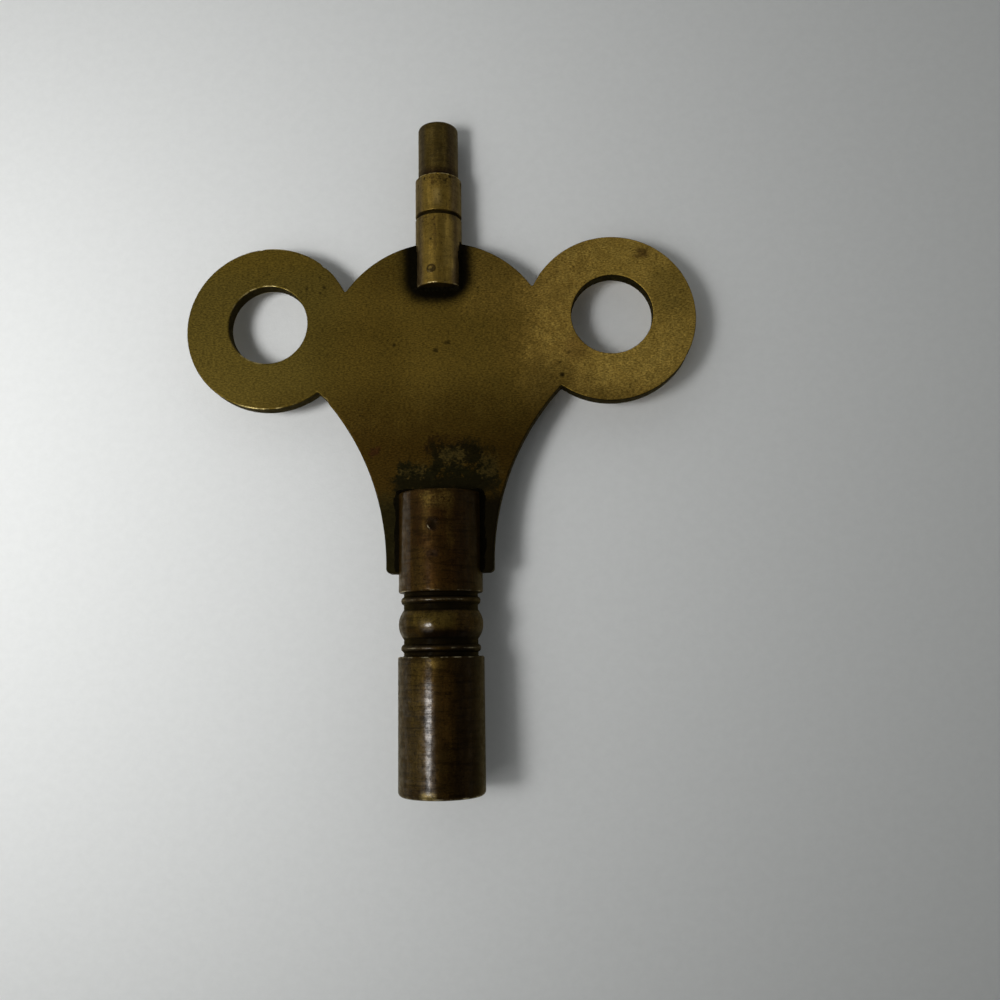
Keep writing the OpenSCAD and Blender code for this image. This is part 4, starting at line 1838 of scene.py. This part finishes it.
@dataclass(frozen=True)
class SquareSocket:
    """Square socket drifted out of a drilled hole, with a sloping lead-in at its mouth.

    It runs up the key from its mouth where way is 1, and down the key where way is -1.
    """

    name: str
    width: float
    depth: float
    drill_radius: float
    lead_in: float
    mouth: float
    way: float
    drill_start: float = 0.3
    drill_past: float = 1.2
    drill_half_angle: float = 59.0

    def cutters(self) -> list[Piece]:
        """Makes the cutters of the socket.

        Returns:
            The square, the drilled hole and the lead-in.
        """
        half, drill, slope = self.width / 2, self.drill_radius, self.lead_in
        ends = sorted((self.mouth - self.way * CUT_PAST, self.mouth + self.way * self.depth))
        square = block_cutter(f"{self.name}_square", (-half, ends[0], -half), (half, ends[1], half))
        start, end = self.drill_start, self.depth + self.drill_past
        point = end + drill / math.tan(math.radians(self.drill_half_angle))
        wide = half + slope + CUT_PAST
        runs = {
            "drill": [(0.0, start), (drill, start), (drill, end), (0.0, point)],
            "lead_in": [(0.0, -CUT_PAST), (wide, -CUT_PAST), (half, slope), (0.0, slope)],
        }
        cutters = [square]
        for part, run in runs.items():
            placed = [(radius, self.mouth + self.way * deep) for radius, deep in run]
            shell = lathe(placed if self.way > 0 else placed[::-1], BORE_SIDES)
            cutters.append(shell.to_object(f"{self.name}_{part}"))
        return cutters


@dataclass(frozen=True)
class Bead:
    """Bead on a neck: its radius at the crest, its length and the pieces of its outline."""

    crest: float
    length: float
    steps: int


@dataclass
class WindingEnd:
    """Large end of the key: the turned barrel, its two cross pins and its solder."""

    node: str = "winding_barrel"
    barrel_radius: float = 3.998
    barrel_length: float = 12.5
    neck_radius: float = 3.45
    neck_end: float = 18.35
    holder_radius: float = 3.93
    holder_end: float = 27.7
    foot_y: float = 20.2
    half_slot: float = 0.82
    slot_play: float = 0.02
    mouth_round: float = 0.45
    mouth_steps: int = 8
    rim_round: float = 0.16
    rim_turn: float = 80.0
    neck_round: float = 0.06
    neck_slope: float = 0.02
    small_bead: Bead = Bead(3.7, 0.75, 14)
    large_bead: Bead = Bead(3.93, 2.7, 22)
    small_bead_inset: float = 0.75
    square: float = 4.25
    socket_depth: float = 11.5
    drill_radius: float = 2.05
    lead_in: float = 0.7
    pin_x: float = -0.25
    pin_heights: Pair = (24.4, 21.7)
    pin_radius: float = 0.6
    solder_start: float = 0.15
    sides: int = 176
    chatter: float = 0.0018
    chatter_seed: int = 11
    # Bright edges, worn, with painted highlight on the lower rim of the holder and the crests of
    # the small beads: how far in from the corner they lie, and the strength on the small beads
    mouth_rub: float = 0.13
    rim_wear_and_glint: float = 0.05
    bead_crest_glint: float = 0.6
    # Dark bands: dirt in the neck, the socket and the slot, and painted shade on the small beads,
    # least at their crests
    neck_grime: float = 0.16
    neck_grime_half: float = 2.95
    socket_grime_share: float = 0.68
    socket_grime: Pair = (6.0, 7.5)
    slot_grime_depth: float = 0.1
    slot_grime: Pair = (24.0, 3.65)
    bead_flank_shade: float = 0.01
    finish: AgedBrass = WINDING_BRASS

    def bead(self, profile: Profile, height: float, bead: Bead) -> None:
        """Draws a bead on the neck.

        Args:
            profile: Outline that is being drawn.
            height: Height of the bead's crest.
            bead: Which bead.
        """
        swell, half = bead.crest - self.neck_radius, bead.length / 2
        size = (half * half + swell * swell) / (2 * swell)
        spread = math.degrees(math.asin(half / size))
        profile.arc((bead.crest - size, height), size, -spread, spread, bead.steps)

    def bead_heights(self) -> tuple[float, float, float]:
        """Gives the heights of the lower small bead, the large bead and the upper small bead."""
        low, high = self.barrel_length, self.neck_end
        return low + self.small_bead_inset, (low + high) / 2, high - self.small_bead_inset

    def profile(self) -> Profile:
        """Draws the barrel's outline from the mouth to the holder's end.

        Returns:
            The outline.
        """
        rim, neck = self.rim_round, self.neck_radius
        step, fillet = self.neck_slope, self.neck_round
        outline = Profile(0.0)
        outline.line(self.barrel_radius - self.mouth_round, 0.0, FACE_STEP)
        outline.rim_out(self.barrel_radius, 0.0, self.mouth_round, steps=self.mouth_steps)
        outline.line(self.barrel_radius, self.barrel_length - rim, SIDE_STEP)
        outline.rim_in(self.barrel_radius, self.barrel_length, rim, self.rim_turn)
        outline.line(neck + fillet, self.barrel_length + step)
        outline.line(neck, self.barrel_length + (step + fillet))
        for height, bead in zip(
            self.bead_heights(), (self.small_bead, self.large_bead, self.small_bead)
        ):
            self.bead(outline, height, bead)
        outline.line(neck, self.neck_end - (step + fillet))
        outline.line(neck + fillet, self.neck_end - step)
        outline.line(self.holder_radius - rim, self.neck_end)
        outline.rim_out(self.holder_radius, self.neck_end, rim, self.rim_turn)
        outline.line(self.holder_radius, self.holder_end - rim, SIDE_STEP)
        outline.rim_in(self.holder_radius, self.holder_end, rim)
        outline.line(0.0, self.holder_end)
        return outline

    def pins(self) -> list[CrossPin]:
        """Gives the cross pins.

        Returns:
            The upper pin, which stands clear, and the lower one, which is filed away.
        """
        upper, lower = self.pin_heights
        x, sizes = self.pin_x, (self.pin_radius, self.holder_radius)
        return [
            CrossPin("winding_pin_upper", x, upper, *sizes, 0.06, 0.38, burr=0.07, soil=0.8),
            CrossPin("winding_pin_lower", x, lower, *sizes, 0.02, 0.2),
        ]

    def paint_barrel(self, barrel: Piece) -> None:
        """Paints the bright edges and dark bands of the barrel: wear and dirt, painted highlight on
        the lower rim of the holder and the crests of the small beads, and painted shade on the
        beads' flanks.

        Args:
            barrel: The barrel's object.
        """
        low, middle, high = self.bead_heights()
        small = self.small_bead
        rings = [
            WearAndGlintRing(self.barrel_radius - self.mouth_rub, self.mouth_rub),
            WearAndGlintRing(self.barrel_radius, self.barrel_length - self.rim_wear_and_glint),
            # Painted highlight: a bright line along the lower rim of the holder
            WearAndGlintRing(self.holder_radius, self.neck_end + self.rim_wear_and_glint),
        ]
        bands = [
            DirtAndShadeBand(self.neck_radius + self.neck_grime, middle, self.neck_grime_half),
            DirtAndShadeBand(self.square * self.socket_grime_share, *self.socket_grime),
            DirtAndShadeBand(self.holder_radius - self.slot_grime_depth, *self.slot_grime),
        ]
        for height in (low, high):
            # Painted highlight on the crest of each small bead, painted shade on its flanks
            rings.append(WearAndGlintRing(small.crest, height, self.bead_crest_glint))
            bands.append(DirtAndShadeBand(small.crest + self.bead_flank_shade, height, small.length / 2))
        paint_turned(barrel, rings, bands)

    def build(self, effects: Effects) -> list[Piece]:
        """Builds and dresses the large end.

        Args:
            effects: Shared effects of the scene.

        Returns:
            The barrel, the pins and the solder.
        """
        outline = self.profile().chattered(self.chatter, self.chatter_seed)
        barrel = lathe(outline, self.sides).to_object("winding_barrel_look")
        wide = self.holder_radius + CUT_PAST
        slot = block_cutter(
            "holder_slot",
            (-wide, self.foot_y - self.slot_play, -self.half_slot),
            (wide, self.holder_end + CUT_PAST, self.half_slot),
        )
        sizes = (self.square, self.socket_depth, self.drill_radius, self.lead_in)
        socket = SquareSocket("winding_socket", *sizes, mouth=0.0, way=1.0)
        pins = self.pins()
        carve(barrel, [slot, *socket.cutters(), *(pin.hole_cutter() for pin in pins)])
        self.paint_barrel(barrel)
        smooth(barrel, TURNED_CREASE)
        pieces = [dress(barrel, self.node, self.finish.material(effects))]
        for pin in pins:
            pieces += pin.build(effects)
        start = self.foot_y + self.solder_start
        solder = SolderBank("winding_solder", self.holder_radius, start, self.holder_end, True)
        return pieces + solder.build(effects)


@dataclass
class RegulatorEnd:
    """Small end of the key: the slotted barrel, the tip, the cross pin and the solder."""

    barrel_node: str = "regulator_barrel"
    tip_node: str = "regulator_tip"
    radius: float = 2.275
    low: float = 47.95
    dome_top: float = 52.6
    half_slot: float = 0.82
    play: float = 0.02
    shoulder: float = 59.2
    groove: float = 55.2
    groove_half: float = 0.2
    groove_depth: float = 0.3
    groove_round: float = 0.06
    groove_turn: float = 90.0
    groove_steps: int = 4
    groove_slope: float = 0.03
    rim_round: float = 0.12
    tip_radius: float = 1.975
    tip_end: float = 64.8
    tip_round: float = 0.35
    tip_turn: float = 87.0
    tip_steps: int = 8
    tip_lift: float = 0.01
    tip_bevel: float = 0.06
    shank_radius: float = 1.5
    shank_low: float = 54.4
    square: float = 2.0
    socket_depth: float = 5.0
    drill_radius: float = 0.925
    lead_in: float = 0.3
    pin: Pair = (-0.5, 49.4)
    pin_radius: float = 0.45
    solder_end: float = 1.0
    solder_seed: int = 9
    sides: int = 144
    chatter: float = 0.003
    barrel_seed: int = 12
    tip_seed: int = 13
    # Pits below the shoulder: their pattern, depth and place, and the skin that they are cut in
    pits: Ripple = Ripple(3.0, 3.2, 21)
    pit_floor: float = 0.5
    pit_depth: float = 0.08
    pit_drop: float = 0.4
    pit_reach: float = 0.75
    pit_skin: float = 0.2
    # Bright edges, worn, with painted highlight on the rims of the barrel: how far in from the
    # corner they lie
    rim_wear_and_glint: float = 0.05
    tip_rub: float = 0.1
    # Dark bands, dirt in the groove, the slot and the pits, and painted shadow on the lower end
    # face: depth below the barrel, offset along it and half length
    groove_grime: Triple = (0.08, 0.0, 0.3)
    slot_grime: Triple = (0.2, 2.0, 1.95)
    end_face_shade: Triple = (0.07, 0.0, 0.05)
    shoulder_grime: Triple = (0.012, -0.85, 0.7)
    socket_grime_share: float = 0.7
    socket_grime_half: float = 3.0
    barrel_finish: AgedBrass = REGULATOR_BRASS
    tip_finish: AgedBrass = TIP_BRASS

    def barrel_profile(self) -> Profile:
        """Draws the slotted barrel's outline.

        Returns:
            The outline.
        """
        rim, fillet, slope = self.rim_round, self.groove_round, self.groove_slope
        lower, upper = self.groove - self.groove_half, self.groove + self.groove_half
        turn, steps = self.groove_turn, self.groove_steps
        outline = Profile(self.low)
        outline.line(self.radius - rim, self.low, FACE_STEP)
        outline.rim_out(self.radius, self.low, rim)
        outline.line(self.radius, lower - fillet, SIDE_STEP)
        outline.rim_in(self.radius, lower, fillet, turn, steps)
        outline.line(self.radius - self.groove_depth, lower + slope)
        outline.line(self.radius - self.groove_depth, upper - slope)
        outline.rim_out(self.radius, upper, fillet, turn, steps)
        outline.line(self.radius, self.shoulder - rim, SIDE_STEP)
        outline.rim_in(self.radius, self.shoulder, rim)
        outline.line(0.0, self.shoulder)
        return outline

    def tip_profile(self) -> Profile:
        """Draws the tip's outline with its shank.

        Returns:
            The outline.
        """
        face = self.shoulder + self.tip_lift
        bevel_end = self.shoulder + (self.tip_lift + self.tip_bevel)
        outline = Profile(self.shank_low)
        outline.line(self.shank_radius, self.shank_low)
        outline.line(self.shank_radius, face)
        outline.line(self.tip_radius - self.tip_bevel, face)
        outline.line(self.tip_radius, bevel_end)
        outline.line(self.tip_radius, self.tip_end - self.tip_round, SIDE_STEP)
        outline.rim_in(self.tip_radius, self.tip_end, self.tip_round, self.tip_turn, self.tip_steps)
        outline.line(0.0, self.tip_end)
        return outline

    def pit_shoulder(self, piece: Piece) -> None:
        """Dents the barrel below its shoulder, where the joint was soldered and cleaned up.

        Args:
            piece: The barrel's object.
        """
        points = mesh_points(piece)
        x, y, z = points.T
        radius = np.hypot(x, z)
        near = falloff(y - self.shoulder + self.pit_drop, self.pit_reach)
        near = near * (radius > self.radius - self.pit_skin)
        pits = np.clip(self.pits.at(points) - self.pit_floor, 0.0, 1.0) * near * self.pit_depth
        shrink = 1.0 - pits / np.maximum(radius, self.pit_depth)
        moved = np.c_[x * shrink, y, z * shrink] * MM
        piece.data.vertices.foreach_set("co", moved.ravel())
        piece.data.update()

    def build_barrel(self, pin: CrossPin) -> Piece:
        """Builds the slotted barrel and paints its wear and dirt, with painted highlight on its
        rims and painted shadow on its lower end face.

        Args:
            pin: Cross pin that goes through it.

        Returns:
            The barrel's object.
        """
        outline = self.barrel_profile().chattered(self.chatter, self.barrel_seed)
        barrel = lathe(outline, self.sides).to_object("regulator_barrel_look")
        self.pit_shoulder(barrel)
        wide, play = self.radius + CUT_PAST, self.play
        slot = block_cutter(
            "dome_slot",
            (-wide, self.low - CUT_PAST, -self.half_slot),
            (wide, self.dome_top + play, self.half_slot),
        )
        low, high = self.shank_low - play, self.shoulder + CUT_PAST
        bore = rod(self.shank_radius + play, low, high, BORE_SIDES).to_object("shank_bore")
        carve(barrel, [slot, bore, pin.hole_cutter()])
        rings = [
            WearAndGlintRing(self.radius, self.low + self.rim_wear_and_glint),
            WearAndGlintRing(self.radius, self.shoulder - self.rim_wear_and_glint),
        ]
        bands = [
            DirtAndShadeBand(self.radius - depth, height + offset, half)
            for height, (depth, offset, half) in (
                (self.groove, self.groove_grime),
                (self.low, self.slot_grime),
                # Painted shadow on the lower end face of the barrel
                (self.low, self.end_face_shade),
                (self.shoulder, self.shoulder_grime),
            )
        ]
        paint_turned(barrel, rings, bands)
        smooth(barrel, TURNED_CREASE)
        return barrel

    def build_tip(self) -> Piece:
        """Builds the tip and paints its wear.

        Returns:
            The tip's object.
        """
        outline = self.tip_profile().chattered(self.chatter, self.tip_seed)
        tip = lathe(outline, self.sides).to_object("regulator_tip_look")
        sizes = (self.square, self.socket_depth, self.drill_radius, self.lead_in)
        socket = SquareSocket("regulator_socket", *sizes, mouth=self.tip_end, way=-1.0)
        carve(tip, socket.cutters())
        ring = WearAndGlintRing(self.tip_radius - self.tip_rub, self.tip_end - self.tip_rub)
        half = self.socket_grime_half
        band = DirtAndShadeBand(self.square * self.socket_grime_share, self.tip_end - half, half)
        paint_turned(tip, [ring], [band])
        smooth(tip, TURNED_CREASE)
        return tip

    def build(self, effects: Effects) -> list[Piece]:
        """Builds and dresses the small end.

        Args:
            effects: Shared effects of the scene.

        Returns:
            The barrel, the tip, the pin and the solder.
        """
        sizes = (self.pin_radius, self.radius)
        pin = CrossPin(
            "regulator_pin", *self.pin, *sizes, 0.05, 0.22, 0.03, 0.5, finish=self.barrel_finish
        )
        barrel = self.build_barrel(pin)
        tip = self.build_tip()
        pieces = [
            dress(barrel, self.barrel_node, self.barrel_finish.material(effects)),
            dress(tip, self.tip_node, self.tip_finish.material(effects)),
        ]
        end = self.dome_top - self.solder_end
        solder = SolderBank(
            "regulator_solder", self.radius, self.low, end, False, self.solder_seed
        )
        return pieces + pin.build(effects) + solder.build(effects)


@dataclass
class Table:
    """Pale table that the key lies on, touching the rim of the holder and the end of the tip."""

    holder: Pair = (3.93, 27.6)
    tip: Pair = (1.97, 64.6)
    middle: Triple = (0.0, 36.0, 0.0)
    radius: float = 230.0
    fade_from: float = 105.0
    sides: int = 96
    colour: Colour = (0.8, 0.81, 0.8)
    fibre_shade: float = 0.97
    fibre_height: float = 0.03
    roughness: float = 0.75
    specular: float = 0.3

    def plane(self) -> tuple[Vector, float]:
        """Finds the plane that carries the key.

        Returns:
            The upward normal, and the plane's distance from the origin along it.
        """
        (holder_r, holder_y), (tip_r, tip_y) = self.holder, self.tip
        normal = Vector((0.0, -(holder_r - tip_r) / (tip_y - holder_y), 1.0)).normalized()
        return normal, normal.y * holder_y - holder_r * normal.z

    def material(self) -> Material:
        """Makes the table's pale paper, which fades out far away and from below.

        Returns:
            A node material.
        """
        material, tree, shader = node_material("pale table")
        place = tree.place()
        fibre = FIBRE.level(tree, place)
        shade = tuple(self.fibre_shade * part for part in self.colour)
        inputs = {
            "Base Color": tree.tint(tree.ramp(fibre, FIBRE.span), shade, self.colour),
            "Roughness": self.roughness,
            "Specular IOR Level": self.specular,
            "Normal": tree.bump(tree.calc("MULTIPLY", fibre, self.fibre_height)),
        }
        tree.fill(shader, inputs)
        far = tree.ramp(tree.measure("LENGTH", place), (self.fade_from, self.radius))
        below = tree.add("ShaderNodeNewGeometry").outputs["Backfacing"]
        clear = tree.add("ShaderNodeBsdfTransparent").outputs[0]
        shaders = {0: tree.calc("MAXIMUM", far, below), 1: shader.outputs[0], 2: clear}
        mix = tree.add("ShaderNodeMixShader", shaders)
        tree.fill(material.node_tree.nodes["Material Output"], {"Surface": mix.outputs[0]})
        return material

    def build(self) -> Piece:
        """Builds the table under the key.

        Returns:
            The table.
        """
        turns = np.arange(self.sides) * math.tau / self.sides
        rim = self.radius * np.c_[np.cos(turns), np.sin(turns)]
        table = Shell(raised(rim, 0.0), [tuple(range(self.sides))]).to_object("table")
        normal, level = self.plane()
        middle = Vector(self.middle)
        foot = middle - (middle.dot(normal) - level) * normal
        turn = Vector((0.0, 0.0, 1.0)).rotation_difference(normal).to_matrix().to_4x4()
        table.matrix_world = Matrix.Translation(foot * MM) @ turn
        table.data.materials.append(self.material())
        return table


@dataclass(frozen=True)
class Lamp:
    """Round lamp: place and diameter in millimetres, power in watts and spread in degrees."""

    name: str
    place: Triple
    size: float
    power: float
    spread: float


@dataclass
class Studio:
    """Camera at the photograph's angle, lamps at the lower left and a pale room.

    The room is dim behind the camera, and darker at the right and near by.
    """

    camera_place: Triple = (10.407, 12.673, 93.452)
    camera_turn: Triple = (0.1515, 0.053, -0.0153)
    lens: float = 36.0
    sensor: float = 36.0
    clip: Pair = (0.001, 10.0)
    lamps: tuple[Lamp, ...] = (
        Lamp("key_lamp", (-85.0, 2.0, 152.0), 52.0, 0.039, 80.0),
        Lamp("soft_lamp", (-98.0, -30.0, 145.0), 140.0, 0.021, 90.0),
    )
    lamp_target: Triple = (-60.0, 40.0, 0.0)
    room_colour: Colour = (0.98, 1.0, 0.99)
    horizon: float = 0.65
    overhead: float = 0.46
    horizon_top: Pair = (0.04, 0.3)
    side_range: Pair = (-0.3, 0.7)
    far_side: float = 0.7
    near_range: Pair = (-0.6, 0.25)
    near_side: float = 0.3
    dim_way: Triple = (0.11, -0.2, 0.97)
    dim_range: Pair = (0.62, 0.95)
    dim_level: float = 0.06

    def camera(self) -> Piece:
        """Places the camera.

        Returns:
            The camera, which the scene uses.
        """
        data = bpy.data.cameras.new("camera")
        data.lens = self.lens
        data.sensor_width = self.sensor
        data.clip_start, data.clip_end = self.clip
        camera = bpy.data.objects.new("camera", data)
        camera.location = Vector(self.camera_place) * MM
        camera.rotation_euler = Euler(self.camera_turn, "XYZ")
        bpy.context.scene.collection.objects.link(camera)
        bpy.context.scene.camera = camera
        return camera

    def light(self, lamp: Lamp) -> Piece:
        """Places a lamp.

        Args:
            lamp: Which lamp.

        Returns:
            The lamp's object, turned to the key.
        """
        data = bpy.data.lights.new(lamp.name, "AREA")
        data.shape = "DISK"
        data.size = lamp.size * MM
        data.energy = lamp.power
        data.spread = math.radians(lamp.spread)
        light = bpy.data.objects.new(lamp.name, data)
        light.location = Vector(lamp.place) * MM
        way = (Vector(self.lamp_target) - Vector(lamp.place)).normalized()
        light.rotation_euler = way.to_track_quat("-Z", "Y").to_euler()
        bpy.context.scene.collection.objects.link(light)
        return light

    def room(self) -> bpy.types.World:
        """Makes the room, which is palest at the level of the table.

        Returns:
            The world.
        """
        world = bpy.data.worlds.new("room")
        world.use_nodes = True
        tree = Tree(world.node_tree)
        way = tree.add("ShaderNodeTexCoord").outputs["Generated"]
        x, y, z = tree.add("ShaderNodeSeparateXYZ", {0: way}).outputs
        toward = tree.measure("DOT_PRODUCT", way, self.dim_way)
        side = tree.ramp(x, self.side_range, (1.0, self.far_side))
        near = tree.ramp(y, self.near_range, (self.near_side, 1.0))
        dim = tree.ramp(toward, self.dim_range, (1.0, self.dim_level))
        dimmed = tree.calc("MULTIPLY", dim, self.overhead)
        above = tree.calc("MULTIPLY", tree.calc("MULTIPLY", side, near), dimmed)
        level = tree.ramp(z, self.horizon_top, (self.horizon, above))
        background = world.node_tree.nodes["Background"]
        tree.fill(background, {"Color": self.room_colour, "Strength": level})
        bpy.context.scene.world = world
        return world

    def build(self) -> None:
        """Sets up the camera, the light and the view."""
        self.camera()
        for lamp in self.lamps:
            self.light(lamp)
        self.room()
        bpy.context.scene.view_settings.view_transform = "Standard"


def main() -> None:
    """Builds the key, the table and the studio, and reports each piece."""
    logging.basicConfig(level=logging.INFO, format="%(name)s: %(message)s")
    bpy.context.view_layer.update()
    effects = Effects()
    for part in (BowPlate(), WindingEnd(), RegulatorEnd()):
        for piece in part.build(effects):
            LOG.info("%s: %d faces", piece.name, len(piece.data.polygons))
    LOG.info("%s ready", Table().build().name)
    Studio().build()


if __name__ == "__main__":
    main()
